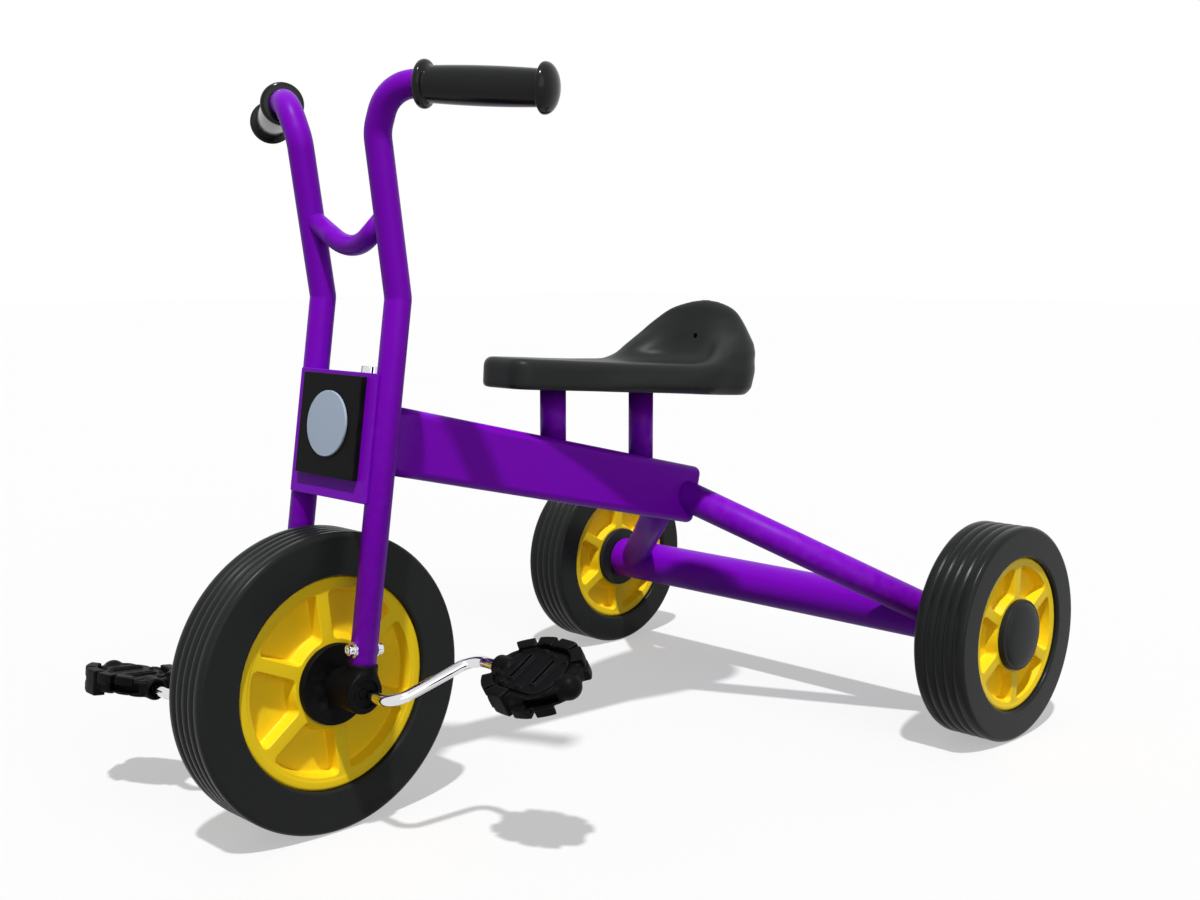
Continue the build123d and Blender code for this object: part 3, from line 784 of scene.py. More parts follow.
def tyre_profile(radius, rim, half, groove):
    """Tyre section as a closed line of (radius, y): ribbed tread, round shoulders, flat walls and a round bead."""
    pitch = 0.37 * half
    shoulder, bead, wall, swell = 4.2 * MM, 2.6 * MM, 9 * MM, 0.35 * MM
    corners = [(rim, half - wall), (rim, half), (radius, half), (radius, half - wall)]
    side = rounded(corners, [0, bead, shoulder, 0], 6)[1:-1]
    side = [Vector((p.x, p.y + swell * math.sin(math.pi * (p.x - rim) / (radius - rim)))) for p in side]
    edge = half - shoulder - 0.6 * MM
    ys = np.linspace(edge, -edge, 61)
    ridge = np.abs(np.cos(np.pi * ys / pitch)) ** 0.55
    plain = np.clip((np.abs(ys) - 2.0 * pitch) / (0.3 * pitch), 0, 1)
    tread = [Vector((radius - groove * (1 - r) * (1 - k), y)) for y, r, k in zip(ys, ridge, plain)]
    return side + tread + [Vector((p.x, -p.y)) for p in reversed(side)]


class TRICYCLE_OT_tyres(Maker, bpy.types.Operator):
    """Turn the three tyres with their ribbed treads"""
    bl_idname = "tricycle.tyres"
    bl_label = "Tyres"

    def execute(self, context):
        s = context.scene.tricycle_wheels
        for end, side, body in WHEELS:
            sizes = [getattr(s, end + key) for key in ("_radius", "_rim", "_half")]
            node = end + "_tyre" + side
            shape = turned(tyre_profile(*sizes, s.groove), 144, True)
            mesh = new_mesh(node, shape, Matrix.Translation(middle(node)))
            piece(node + "_ribbed", mesh, body, "tyre_rubber", node)
        return {"FINISHED"}


def pocket_loop(inset, rib, boss, ring, corner, span):
    """One pocket of a rim face as a closed loop, moved inward by inset."""
    h, r = rib / 2 + inset, max(corner - inset, 0.1 * MM)
    outer, inner = ring - 1.3 * inset, boss + (2.2 * inset if inset > 0 else inset)
    far = (math.sqrt((outer - r) ** 2 - (h + r) ** 2), h + r)
    near = (math.sqrt((inner + r) ** 2 - (h + r) ** 2), h + r)
    far_turn, near_turn = math.atan2(far[1], far[0]), math.atan2(near[1], near[0])
    half = arc((0, 0), inner, span / 2, near_turn, 5)[:-1]
    half += arc(near, r, near_turn + math.pi, 1.5 * math.pi, 5)[:-1]
    half += [(near[0] + (far[0] - near[0]) * k / 6, h) for k in range(6)]
    half += arc(far, r, -math.pi / 2, far_turn, 5)[:-1]
    half += arc((0, 0), outer, far_turn, span / 2, 8)
    c, s = math.cos(span), math.sin(span)
    return half + [(c * x + s * y, s * x - c * y) for x, y in reversed(half)][1:-1]


def inside(loop, x, y):
    """Whether a point lies in a closed loop."""
    a, b = loop, np.roll(loop, -1, 0)
    up = (a[:, 1] > y) != (b[:, 1] > y)
    with np.errstate(divide="ignore", invalid="ignore"):
        cut = (b[:, 0] - a[:, 0]) * (y - a[:, 1]) / (b[:, 1] - a[:, 1]) + a[:, 0]
    return (up & (x < cut)).sum() % 2 == 1


def closed_edges(first, number):
    return [(first + k, first + (k + 1) % number) for k in range(number)]


def rim_sector(s, radius, ring_deep, face, rib):
    """One rib-to-rib sector of a rim: both faces with a pocket each, the lip, the seat for the tyre and the bore."""
    span = 2 * math.pi / s.ribs
    ring, lip, steps = radius - ring_deep, radius - ring_deep + 2.2 * MM, 16
    top, foot, draft, corner = 0.9 * MM, 1.5 * MM, 1.3 * MM, 4.0 * MM
    # the pocket's wall as levels of (inset, height)
    levels = [(top * math.sin(a) - top, -top * (1 - math.cos(a))) for a in np.linspace(0, math.pi / 2, 4)]
    for a in np.linspace(0, math.pi / 2, 5):
        levels.append((draft + foot * (1 - math.cos(a)), -(s.pocket - foot) - foot * math.sin(a)))
    loops = [pocket_loop(d, rib, s.boss, ring, corner, span) for d, _ in levels]
    n = len(loops[0])
    # the face between the pocket and the sector's border
    around = [span * k / steps for k in range(steps + 1)]
    radial = [s.barrel + (lip - s.barrel) * k / 12 for k in range(13)]
    border = [(r, 0) for r in radial] + [(lip, a) for a in around[1:]]
    border += [(r, span) for r in reversed(radial[:-1])] + [(s.barrel, a) for a in reversed(around[1:-1])]
    border = [(r * math.cos(a), r * math.sin(a)) for r, a in border]
    edges = closed_edges(0, n) + closed_edges(n, len(border))
    points, _, cells, *_ = delaunay_2d_cdt([Vector(p) for p in loops[0] + border], edges, [], 0, 1e-9)
    hole = np.array(loops[0])
    tops = []
    for f in cells:
        x, y = np.mean([points[i] for i in f], 0)
        r, a = math.hypot(x, y), math.atan2(y, x)
        if s.barrel * math.cos(span / steps) < r < lip and 0 < a < span and not inside(hole, x, y):
            tops.append(tuple(f))
    shapes = []
    for side in (1, -1):
        shapes.append(([(p[0], side * face, -p[1]) for p in points], tops))
        verts = [(x, side * (face + z), -y) for (_, z), loop in zip(levels, loops) for x, y in loop]
        floor = tuple(range(len(verts) - n, len(verts)))
        shapes.append((verts, strip(len(levels), n, True) + [floor]))
    # the lip and the tyre's seat, then the bore
    crown, tuck = face + 0.6 * MM, 2.4 * MM
    half = [(lip, face), (lip + 0.8 * MM, face + 0.25 * MM), (lip + 2 * MM, crown)]
    half += [(p.x, p.y) for p in rounded([(lip + 3 * MM, crown), (radius, crown), (radius, 0)], [0, tuck, 0], 5)][1:-1]
    for line in (half + [(r, -y) for r, y in reversed(half)], [(s.barrel, face), (s.barrel, -face)]):
        verts = [(r * math.cos(a), y, -r * math.sin(a)) for a in around for r, y in line]
        shapes.append((verts, strip(steps + 1, len(line))))
    return joined(*shapes)


class TRICYCLE_OT_rims(Maker, bpy.types.Operator):
    """Make each rim as a ring of rib-to-rib sectors"""
    bl_idname = "tricycle.rims"
    bl_label = "Rims"

    def execute(self, context):
        s = context.scene.tricycle_wheels
        paint = bpy.data.materials["rim_yellow"]
        for end, side, body in WHEELS:
            sizes = [getattr(s, end + key) for key in ("_rim", "_ring", "_face", "_rib")]
            sector = plain_mesh("sector", *rim_sector(s, *sizes))
            mesh = grown("Ring of copies", sector, Copies=s.ribs, Start=getattr(s, end + "_turn"), Finish=paint)
            node = end + "_rim" + side
            mesh.transform(Matrix.Translation(middle(node)))
            piece(node + "_ribbed", mesh, body, "rim_yellow", node)
        return {"FINISHED"}


class TRICYCLE_OT_hubs(Maker, bpy.types.Operator):
    """Turn the hub discs and the domed rear caps"""
    bl_idname = "tricycle.hubs"
    bl_label = "Hubs"

    def execute(self, context):
        s = context.scene.tricycle_wheels
        crank_bore, axle_bore, in_rim = 4.3 * MM, 6.1 * MM, s.barrel - 0.1 * MM
        disc, face, outer = s.front_disc, s.front_face, half_size("front_hub").y
        half = section(((crank_bore, outer, 0), (disc, outer, 1.2), (disc, face, 0.5), (in_rim, face, 0)), 4)
        shape = turned(half + [Vector((p.x, -p.y)) for p in reversed(half)], 96, True)
        mesh = new_mesh("front_hub", shape, Matrix.Translation(front_axle()))
        piece("front_hub_discs", mesh, "front_wheel", "black_plastic", "front_hub")
        disc, face, outer, back = s.rear_disc, s.rear_face, s.rear_cap, s.rear_back
        flat = disc - 3.2 * MM
        turns = np.linspace(0, math.pi / 2, 15)
        profile = [Vector((flat * math.sin(t), outer + s.rear_dome * math.cos(t) ** 0.9)) for t in turns]
        profile += section(((flat, outer, 0), (disc, outer, 1.4), (disc, face, 0.5), (in_rim, face, 0)), 4)[1:]
        profile += section((
            (in_rim, -face, 0), (disc, -face, 0.5), (disc, -back, 1.2),
            (axle_bore, -back, 0.4), (axle_bore, -face, 0), (0, -face, 0)), 4)
        for name, side in SIDES:
            node = "rear_hub_" + name
            place_y = Vector((0, side * abs(middle("rear_tyre_left").y), 0))
            at = Matrix.Translation(rear_axle() + place_y) @ outward(side)
            mesh = new_mesh(node, turned(profile, 96), at)
            # painted light: the rear hubs take the lighter seat plastic, not the black of the front hub disc, to stand
            # in for the light falling on them
            piece(node + "_cap", mesh, "rear_wheel_" + name, "seat_plastic", node)
        return {"FINISHED"}


class TRICYCLE_OT_crank(Maker, bpy.types.Operator):
    """Bend the bright crank rod"""
    bl_idname = "tricycle.crank"
    bl_label = "Crank"

    def execute(self, context):
        s = context.scene.tricycle_pedals
        reach = throw_vector(s)
        half = [Vector((0, s.bend_in, 0)), Vector((0, s.bend_out, 0)) + reach]
        half.append(Vector((0, s.across + s.spindle, 0)) + reach)
        line = [front_axle() + p for p in [-q for q in reversed(half)] + half]
        mesh = tube(line, [s.bend] * 4, s.rod, "bright_metal", 32, 14)
        piece("crank_rod", mesh, "front_wheel", "bright_metal", "crank")
        return {"FINISHED"}


def pedal_field(s):
    """The pedal as a smooth field in millimetres, with its spindle along Y and its deck level."""
    hx, hy, corner, deep, flat, barrel, rod, spindle, gap = (
        v / MM for v in (s.half_x, s.half_y, s.corner, s.block_deep, s.flat, s.barrel, s.rod, s.spindle, s.gap))
    high, half = s.blocks_high / MM / 2, s.deck / MM / 2
    c, w = math.cos(s.flat_turn), math.sin(s.flat_turn)
    step = 2 * math.pi / s.blocks
    no_block = 9
    rail_x, rail_y, rail_half, slot_x, slot_half = 13.5, 11.5, 3.1, 11.5, 1.2
    bumps = ((-19, -4), (-17, 6), (-14, 21), (10, -24), (17, -13), (17, 2))

    def field(x, y, z):
        qx, qy, up = np.abs(x) - hx + corner, np.abs(y) - hy + corner, np.abs(z)
        oval = np.hypot(np.maximum(qx, 0), np.maximum(qy, 0)) + np.minimum(np.maximum(qx, qy), 0) - corner
        # two opposite corners are cut flat, each with a window
        out, along = c * x + w * y, c * y - w * x
        along, out = along * np.sign(out), np.abs(out)
        body = round_max(round_max(oval + 2.4, out - flat, 6), up - half, 3.2)
        groove = np.maximum(np.abs(oval + deep + 1.2) - 1.4, half - 2.2 - up)
        body = round_max(body, -groove, 0.5)
        # edge blocks above and below, left out round the spindle and at the flats; two run the full height
        shell = round_max(oval, out - flat - 5, 6)
        a = np.mod(np.arctan2(y * hx / hy, x) + np.where(z < 0, math.pi, 0), 2 * math.pi)
        row = np.floor(a / step)
        off = np.abs(np.mod(a + step / 2, step) - step / 2) * np.hypot(x, y)
        low = np.where(np.mod(row, 6) == 5, -1, 1.5)
        block = round_max(np.abs(shell + deep / 2) - deep / 2, np.maximum(up - high, low - up), 1.0)
        block = round_max(block, gap * 0.12 + 0.17 * np.maximum(shell + deep, 0) - off, 0.5)
        body = round_min(body, np.where(((row >= 4) & (row < 8)) | (row >= 10), block, no_block), 0.6)
        # two slotted rails across the deck, and small bumps
        lane = np.abs(np.abs(y) - rail_y)
        rail = round_max(round_max(np.abs(x) - rail_x, lane - rail_half, 2), up - half - 1.8, 0.7)
        body = round_min(body, rail, 0.5)
        body = np.maximum(body, -np.maximum(np.maximum(np.abs(x) - slot_x, lane - slot_half), 2.0 - up))
        flip = np.where(z < 0, -1, 1)
        for bx, by in bumps:
            from_x, from_y, from_z = x * flip - bx, (y * flip - by) * 0.6, (up - half) * 1.2
            body = round_min(body, np.sqrt(from_x ** 2 + from_y ** 2 + from_z ** 2) - 2.0, 0.8)
        window = np.maximum(np.maximum(np.abs(along - 10) - 12.5, up - 3.4), flat - 7 - out)
        body = round_max(body, -window, 0.4)
        # the spindle's ball end and boss, bored for the crank
        around = np.hypot(x, z)
        ball = np.sqrt(around ** 2 + (y - hy + 5) ** 2) - barrel
        boss = round_max(around - barrel + 0.8, np.maximum(-hy - 2 - y, y + 22), 2.5)
        body = round_min(body, np.minimum(ball, boss), 1.0)
        bore = np.maximum(around - rod - 0.15, y - spindle - 1)
        return np.maximum(body, -np.minimum(bore, np.maximum(around - 6.6, y + hy - 1)))
    return field


class TRICYCLE_OT_pedals(Maker, bpy.types.Operator):
    """Mould the two pedals with their edge blocks, slotted rails, windows and spindle ends"""
    bl_idname = "tricycle.pedals"
    bl_label = "Pedals"

    def execute(self, context):
        s = context.scene.tricycle_pedals
        reach = (s.half_x / MM + 3, s.half_y / MM + 5, s.blocks_high / MM / 2 + 3)
        v, f = skin(pedal_field(s), [-r for r in reach], [reach[0], reach[1] + 3, reach[2]], 0.72)
        for (name, side), tip in zip(SIDES, (s.tip_left, s.tip_right)):
            spot = front_axle() + throw_vector(s) * side + Vector((0, side * s.across, 0))
            at = Matrix.Translation(spot) @ Matrix.Rotation(tip, 4, "Y") @ outward(side)
            node = "pedal_" + name
            piece(node + "_block", eased(new_mesh(node, (v * MM, f), at), 1), node, "black_plastic", node)
        return {"FINISHED"}


class TRICYCLE_OT_steering_tubes(Maker, bpy.types.Operator):
    """Bend the two fork tubes into the handlebar and add the brace"""
    bl_idname = "tricycle.steering_tubes"
    bl_label = "Steering tubes"

    def execute(self, context):
        s = context.scene.tricycle_steering
        fork = fork_frame(s)
        foot, kink = fork @ Vector((0, s.spread, s.foot)), fork @ Vector((0, s.spread, s.kink))
        start, out = grip_line(s)
        bend = Vector((front_axle().x - s.bend_x, s.bar_y, kink.z + s.bend_up))
        stop = start + out * (s.grip_start + s.grip_length - GRIP_END_HALF)
        for name, side in SIDES:
            line = [mirrored(p, side) for p in (foot, kink, bend, start + out * s.bend_out, stop)]
            node = "fork_tube_" + name
            mesh = tube(line, [s.kink_bend, s.bar_bend, s.bar_bend], s.tube, "frame_paint", 48, 14)
            piece(node + "_painted", mesh, "steering", "frame_paint", node)
        lean = (bend - kink).normalized()
        end = kink + lean * (s.brace_up / lean.z)
        low = Vector((end.x - s.brace_dip * lean.x / lean.z, 0, end.z - s.brace_dip))
        mesh = tube([end, low, mirrored(end, -1)], [s.brace_bend], s.brace, "frame_paint", 40, 24)
        piece("handlebar_brace_painted", mesh, "steering", "frame_paint", "handlebar_brace")
        return {"FINISHED"}


def tongue_outline(s):
    """The outline of a head plate's tongue, which narrows to a round end at the steering axis."""
    front, back, wide, r = s.tube + 0.5 * MM, -s.tube, s.spread - s.tube - 0.1 * MM, s.tongue_round
    end = [(r * math.cos(a), -s.steer_back - r * math.sin(a)) for a in np.linspace(0, math.pi, 25)]
    points = [(wide, front), (wide, back), (r, back), *end[1:-1], (-r, back), (-wide, back), (-wide, front)]

    def outline(inset):
        out = []
        for i, point in enumerate(points):
            a, b, c = Vector(points[i - 1]), Vector(point), Vector(points[(i + 1) % len(points)])
            u, v = (b - a).normalized(), (c - b).normalized()
            na, nb = Vector((u.y, -u.x)), Vector((v.y, -v.x))
            mid = (na + nb).normalized()
            out.append(tuple(b + mid * (inset / max(0.4, mid.dot(na)))))
        return out
    return outline


class TRICYCLE_OT_head(Maker, bpy.types.Operator):
    """Make the head plate with its tongues, the steering bolt, the lamp plate and its disc"""
    bl_idname = "tricycle.head"
    bl_label = "Head and lamp"

    def execute(self, context):
        s = context.scene.tricycle_steering
        fork = fork_frame(s)
        stand, lying = fork @ facing(), fork @ axes((0, 1, 0), (0, 0, 1), (1, 0, 0))
        w = s.tube
        outline = box_outline(s.plate_half, s.plate_low, s.plate_high, 1.2 * MM)
        shapes = [moved(rounded_plate(outline, w, w + s.plate, 0.6 * MM), stand)]
        for low in (s.plate_low, s.plate_high - s.tongue):
            shapes.append(moved(rounded_plate(tongue_outline(s), low, low + s.tongue, 0.5 * MM), lying))
        piece("head_box_plates", new_mesh("head_box", joined(*shapes)), "steering", "frame_paint", "head_box")
        # the bolt's flat nut below, its shank, and its head with a recess above
        under, over, shank, wide = s.plate_low - 2.5 * MM, s.plate_high + 5.5 * MM, 6 * MM, 7.5 * MM
        recess = over - 2.6 * MM
        profile = section((
            (0, under, 0), (wide, under, 0.8), (wide, s.plate_low, 0.2), (shank, s.plate_low, 0),
            (shank, s.plate_high, 0), (wide, s.plate_high, 0.2), (wide, over, 0.8), (4.2 * MM, over, 0.3),
            (3.6 * MM, recess, 0.2), (0, recess, 0)), 4)
        mesh = new_mesh("steering_bolt", turned(profile, 48), fork @ upright((-s.steer_back, 0, 0)))
        piece("steering_bolt_turned", mesh, "steering", "bright_metal", "steering_bolt")
        w += s.plate
        outline = box_outline(s.lamp_half, s.lamp_low, s.lamp_high, 1.0 * MM)
        mesh = new_mesh("lamp_plate", rounded_plate(outline, w, w + s.lamp, 0.7 * MM), stand)
        piece("lamp_plate_moulded", mesh, "steering", "lamp_black", "lamp_plate")
        w += s.lamp
        top = w + s.lens_thick
        profile = section((
            (0, w, 0), (s.lens, w, 0.2), (s.lens, top - 0.3 * MM, 0.5),
            (s.lens * 0.6, top - 0.1 * MM, 6), (0, top, 0)), 6)
        mesh = new_mesh("lamp_lens", turned(profile, 96), fork @ facing((0, 0, s.lens_up)))
        piece("lamp_lens_disc", mesh, "steering", "lamp_pale", "lamp_lens")
        return {"FINISHED"}


class TRICYCLE_OT_grips(Maker, bpy.types.Operator):
    """Turn the two grips with a flange, a barrel body and a mushroom end"""
    bl_idname = "tricycle.grips"
    bl_label = "Grips"

    def execute(self, context):
        s = context.scene.tricycle_steering
        start, out = grip_line(s)
        flange, bore, sleeve = 3.25 * MM, s.tube + 0.05 * MM, 2.5 * MM
        waist, bulge, rim = s.grip - 0.3 * MM, 1.0 * MM, 1.8 * MM
        stop = s.grip_length - GRIP_END_HALF
        dome = 2 * GRIP_END_HALF + 2 * MM - rim
        rows = [(bore, sleeve - flange, 0), (bore, -flange, 0.8)]
        rows += [(s.grip_flange, -flange, 3.0), (s.grip_flange, flange, 3.0), (waist, flange, 1.6)]
        for k in range(1, 12):
            u = k / 12
            rows.append((waist + 4 * bulge * u * (1 - u), flange + u * (stop - flange), 0))
        rows += [(waist, stop, 0.8), (s.grip_end, stop, 1.4)]
        for k in range(13):
            a = (1 - k / 12) * math.pi / 2
            rows.append((s.grip_end * math.sin(a), stop + rim + dome * math.cos(a), 0))
        profile = section(rows, 6)
        for name, side in SIDES:
            axis = mirrored(out, side)
            x = Vector((0, 0, 1)).cross(axis).normalized()
            at = axes(x, axis, x.cross(axis), mirrored(start + out * s.grip_start, side))
            node = "grip_" + name
            piece(node + "_moulded", new_mesh(node, turned(profile, 64), at), "steering", "grip_rubber", node)
        return {"FINISHED"}


class TRICYCLE_OT_housings(Maker, bpy.types.Operator):
    """Mould the axle housings, and fit the bolt through each tube foot"""
    bl_idname = "tricycle.housings"
    bl_label = "Axle housings and foot bolts"

    def execute(self, context):
        s = context.scene.tricycle_steering
        fork = fork_frame(s)
        up = fork.to_3x3() @ Vector((0, 0, 1))
        base = (fork.translation - front_axle()) / MM
        r, inn, out, foot, sleeve_r, spread, w = (
            v / MM for v in (s.housing, s.housing_in, s.housing_out, s.foot, s.sleeve, s.spread, s.tube))
        rod = context.scene.tricycle_pedals.rod / MM
        wall, recess_deep = 4.2, 2.2

        def field(x, y, z):
            a = np.sqrt(x * x + z * z)
            boss = round_max(a - r, np.maximum(y - out, inn - y), 1.8)
            recess = np.abs(a - (rod + r - wall) / 2) - (r - wall - rod) / 2
            recess = np.maximum(recess, out - recess_deep - y)
            px, py, pz = x - base.x, y - spread, z - base.z
            along = px * up.x + pz * up.z
            off = np.sqrt((px - along * up.x) ** 2 + py * py + (pz - along * up.z) ** 2)
            sleeve = round_max(off - sleeve_r, np.maximum(along - foot - 3, -along), 1.2)
            body = round_min(boss, sleeve, 3.5)
            return np.maximum(np.maximum(body, -recess), rod + 0.1 - a)
        v, f = skin(field, (-r - 8, inn - 2, -r - 3), (r + 6, out + 6, foot + 9), 0.6)
        # the bolt's nut behind, its washers on the tube, and its recessed head in front, in millimetres
        rows = (
            (0, -w - 5.2, 0), (4.6, -w - 5.2, 0.9), (4.6, -w - 0.6, 0.3), (6, -w - 0.4, 0.2), (6, 1 - w, 0.2),
            (3, 1 - w, 0), (3, w - 1, 0), (6, w - 1, 0.2), (6, w + 0.4, 0.2), (4.4, w + 0.8, 0.3),
            (4.2, w + 4.4, 0.6), (2.4, w + 5, 0.3), (2.1, w + 2.8, 0.2), (0, w + 2.8, 0))
        bolt = turned(section([(x * MM, y * MM, corner) for x, y, corner in rows], 3), 32)
        for name, side in SIDES:
            node = "axle_housing_" + name
            mesh = new_mesh(node, (v * MM * np.array((1, side, 1)), f), Matrix.Translation(front_axle()))
            piece(node + "_moulded", mesh, "steering", "black_plastic", node)
            mesh = new_mesh("foot_bolt", bolt, fork @ facing((0, side * s.spread, s.foot_bolt)))
            piece("foot_bolt_" + name, mesh, "steering", "bright_metal")
        return {"FINISHED"}


class TRICYCLE_OT_frame_tubes(Maker, bpy.types.Operator):
    """Make the beam, the head tube, the seat posts, the stays and the rear axle tube"""
    bl_idname = "tricycle.frame_tubes"
    bl_label = "Frame tubes"

    def execute(self, context):
        scene = context.scene
        s, steer, seat = scene.tricycle_frame, scene.tricycle_steering, scene.tricycle_seat

        def painted(node, mesh):
            piece(node + "_painted", mesh, "frame", "frame_paint", node)
        fork = fork_frame(steer)
        head_up = (steer.plate_low + steer.plate_high) / 2
        head = fork @ Vector((-steer.steer_back, 0, head_up))
        rear = rear_axle()
        stop = Vector((rear.x + s.beam_end_x, 0, s.beam_end_z))
        back = (stop - head).normalized()
        # the beam starts past the bolt's shank and ends with a rounded edge
        first, end = 6.4 * MM, s.beam_corner * 0.8
        last = (stop - head).length - end
        stations = [(first + (last - first) * k / 10, 0) for k in range(11)]
        for a in np.linspace(0, math.pi / 2, 7)[1:]:
            stations.append((last + end * math.sin(a), end * (1 - math.cos(a))))
        outline = box_outline(s.beam_wide / 2, -s.beam_high / 2, s.beam_high / 2, s.beam_corner, 6)
        at = axes((0, 1, 0), back, Vector((0, 1, 0)).cross(back), head)
        painted("main_beam", new_mesh("main_beam", swept_bar(outline, stations), at))
        half = (steer.plate_high - steer.plate_low) / 2 - steer.tongue - 0.4 * MM
        shape = turned(bush(6.05 * MM, s.head, half, 0.8, 4), 64, True)
        painted("head_tube", new_mesh("head_tube", shape, fork @ upright((-steer.steer_back, 0, head_up))))
        in_beam, in_seat = 6 * MM, 3 * MM
        for node in ("seat_post_front", "seat_post_rear"):
            x = middle(node).x
            top = seat.z + (x - rear.x - seat.x) * math.tan(seat.tilt) + in_seat
            line = [Vector((x, 0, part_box(node)[0].z - in_beam)), Vector((x, 0, top))]
            painted(node, tube(line, [], s.post, "frame_paint", 40))
        for name, side in SIDES:
            start = Vector((rear.x + s.stay_x, side * s.beam_wide / 2, s.stay_z))
            end = rear + Vector((0, side * s.stay_end, 0))
            start -= (end - start).normalized() * 12 * MM
            painted("stay_" + name, tube([start, end], [], s.stay, "frame_paint", 48))
        shape = turned(bush(6.02 * MM, s.tube, s.tube_half, 1.2, 5), 72, True)
        painted("rear_axle_tube", new_mesh("rear_axle_tube", shape, Matrix.Translation(rear)))
        return {"FINISHED"}


def soft_line(xs, zs, at, blur):
    """A polyline through (xs, zs), softened over a distance, read at the given places, with its slope."""
    grid = np.linspace(xs[0] - 3 * blur, xs[-1] + 3 * blur, 800)
    line = np.interp(grid, xs, zs)
    step = grid[1] - grid[0]
    n = int(3 * blur / step)
    kernel = np.exp(-0.5 * (np.arange(-n, n + 1) * step / blur) ** 2)
    line = np.convolve(np.pad(line, n, "edge"), kernel / kernel.sum(), "valid")
    return np.interp(at, grid, line), np.interp(at, grid, np.gradient(line, step))


def seat_field(s):
    """The seat as a smooth field in millimetres, in its own tilted frame."""
    nose, nose_half, half, thick, corner = (v / MM for v in (s.nose, s.nose_half, s.half, s.thick, s.corner))
    wide, rear = -s.wide_x / MM, -s.rear / MM
    lean = math.tan(s.lean)
    foot_x, foot_y = rear + s.back_thick / MM, half - s.wing_thick / MM
    run = math.hypot(nose - wide, half - nose_half)
    # heights of the back across the seat, and of the wings along it
    back_y = [0, 12, 22, 32, 42, 50, 57, 61, 66, 72, 80]
    back_z = [85.2, 84.4, 82.8, 81.4, 79.6, 76.3, 70.4, 64, 55, 42, 27]
    back_y, back_z = [-v for v in back_y[:0:-1]] + back_y, back_z[:0:-1] + back_z
    wing_x = [-200, -160, -150, -138, -116, -100, -93, -84, -60]
    wing_z = [150, 108, 71, 54, 37, 26, 22, 18.5, 14]
    tuck_top, lean_from, round_from, edge = 34, 38, 46, 8

    def field(x, y, z):
        y = np.abs(y)
        t = np.clip((-x - 40) / 90, 0, 1)
        rearward = t * t * (3 - 2 * t)

        def plan(shrink, corner):
            side = ((x - nose) * (half - nose_half) + (y - nose_half) * (nose - wide)) / run
            d = round_max(round_max(side, y - half, 3), rear - x, corner)
            return round_max(d, x - nose, 14) + shrink

        def under(wall, xs, zs, at):
            top, slope = soft_line(xs, zs, at, 3)
            return round_max(wall, (z - top) / np.sqrt(1 + slope ** 2), edge)
        # the pan, tucked in at its rear foot and dished on top
        tuck = 0.17 * np.maximum(tuck_top - z, 0) * rearward
        dish = 2.2 * np.exp(-((x + 60) / 70) ** 2) * np.clip(1 - (y / 56) ** 2, 0, 1)
        pan = round_max(plan(tuck, corner), z - thick - 0.9 + dish, 7.5)
        pan = round_max(pan, -z - 1.2 * rearward, 4.0)
        # the back and the wings, which lean in, are scooped inside and end at the crest and the flank
        lean_in = lean * np.maximum(z - lean_from, 0)
        wall = plan(tuck + lean_in, corner + 0.75 * np.maximum(z - round_from, 0))
        rise = np.maximum(z - thick + 3, 0)
        scoop_x, scoop_y = foot_x - 17 * np.tanh(rise / 24) - x, y - foot_y - 0.16 * rise
        wall = round_max(wall, -round_max(scoop_x, scoop_y, 44 + 0.2 * rise) * 0.85, 7)
        wall = under(under(wall, back_y, back_z, y), wing_x, wing_z, x)
        return round_min(pan, np.maximum(wall, 8 - z), 10)
    return field


class TRICYCLE_OT_seat(Maker, bpy.types.Operator):
    """Mould the seat with its pan, wings and back, and cut the square hole"""
    bl_idname = "tricycle.seat"
    bl_label = "Seat"

    def execute(self, context):
        s = context.scene.tricycle_seat
        low = (-s.rear / MM - 4, -s.half / MM - 4, -4)
        high = (s.nose / MM + 4, s.half / MM + 4, (s.thick + s.back_high) / MM + 6)
        v, f = skin(seat_field(s), low, high, 1.7)
        body = held("seat_body", eased(new_mesh("seat", (v * MM, f)), 2))
        h, through = s.hole / 2, 40 * MM
        bar = swept_bar(box_outline(h, -h, h, 0.3 * MM), [(-through, 0), (through, 0)])
        at = facing((s.back_thick / 2 - s.rear, 0, s.thick + s.hole_up))
        cutter = held("hole", new_mesh("hole", bar, at))
        cut = body.modifiers.new("hole", "BOOLEAN")
        cut.object, cut.operation, cut.solver = cutter, "DIFFERENCE", "EXACT"
        made = evaluated(body)
        bpy.data.objects.remove(cutter)
        made.transform(Matrix.Translation((rear_axle().x + s.x, 0, s.z)) @ Matrix.Rotation(-s.tilt, 4, "Y"))
        piece("seat_moulded", made, "frame", "seat_plastic", "seat")
        return {"FINISHED"}


def seen_level(tree, low, high):
    """Two nodes: one for the rays that the eye follows and zero for the rest, and a level from low to high by it."""
    path = place(tree, "ShaderNodeLightPath")
    add = place(tree, "ShaderNodeMath", operation="ADD")
    seen = place(tree, "ShaderNodeMath", operation="ADD", use_clamp=True)
    level = place(tree, "ShaderNodeMapRange", {"To Min": low, "To Max": high})
    wire(
        tree,
        (path, "Is Camera Ray", add, 0), (path, "Is Glossy Ray", add, 1), (add, 0, seen, 0),
        (path, "Is Transmission Ray", seen, 1), (seen, 0, level, "Value"),
    )
    return seen, level


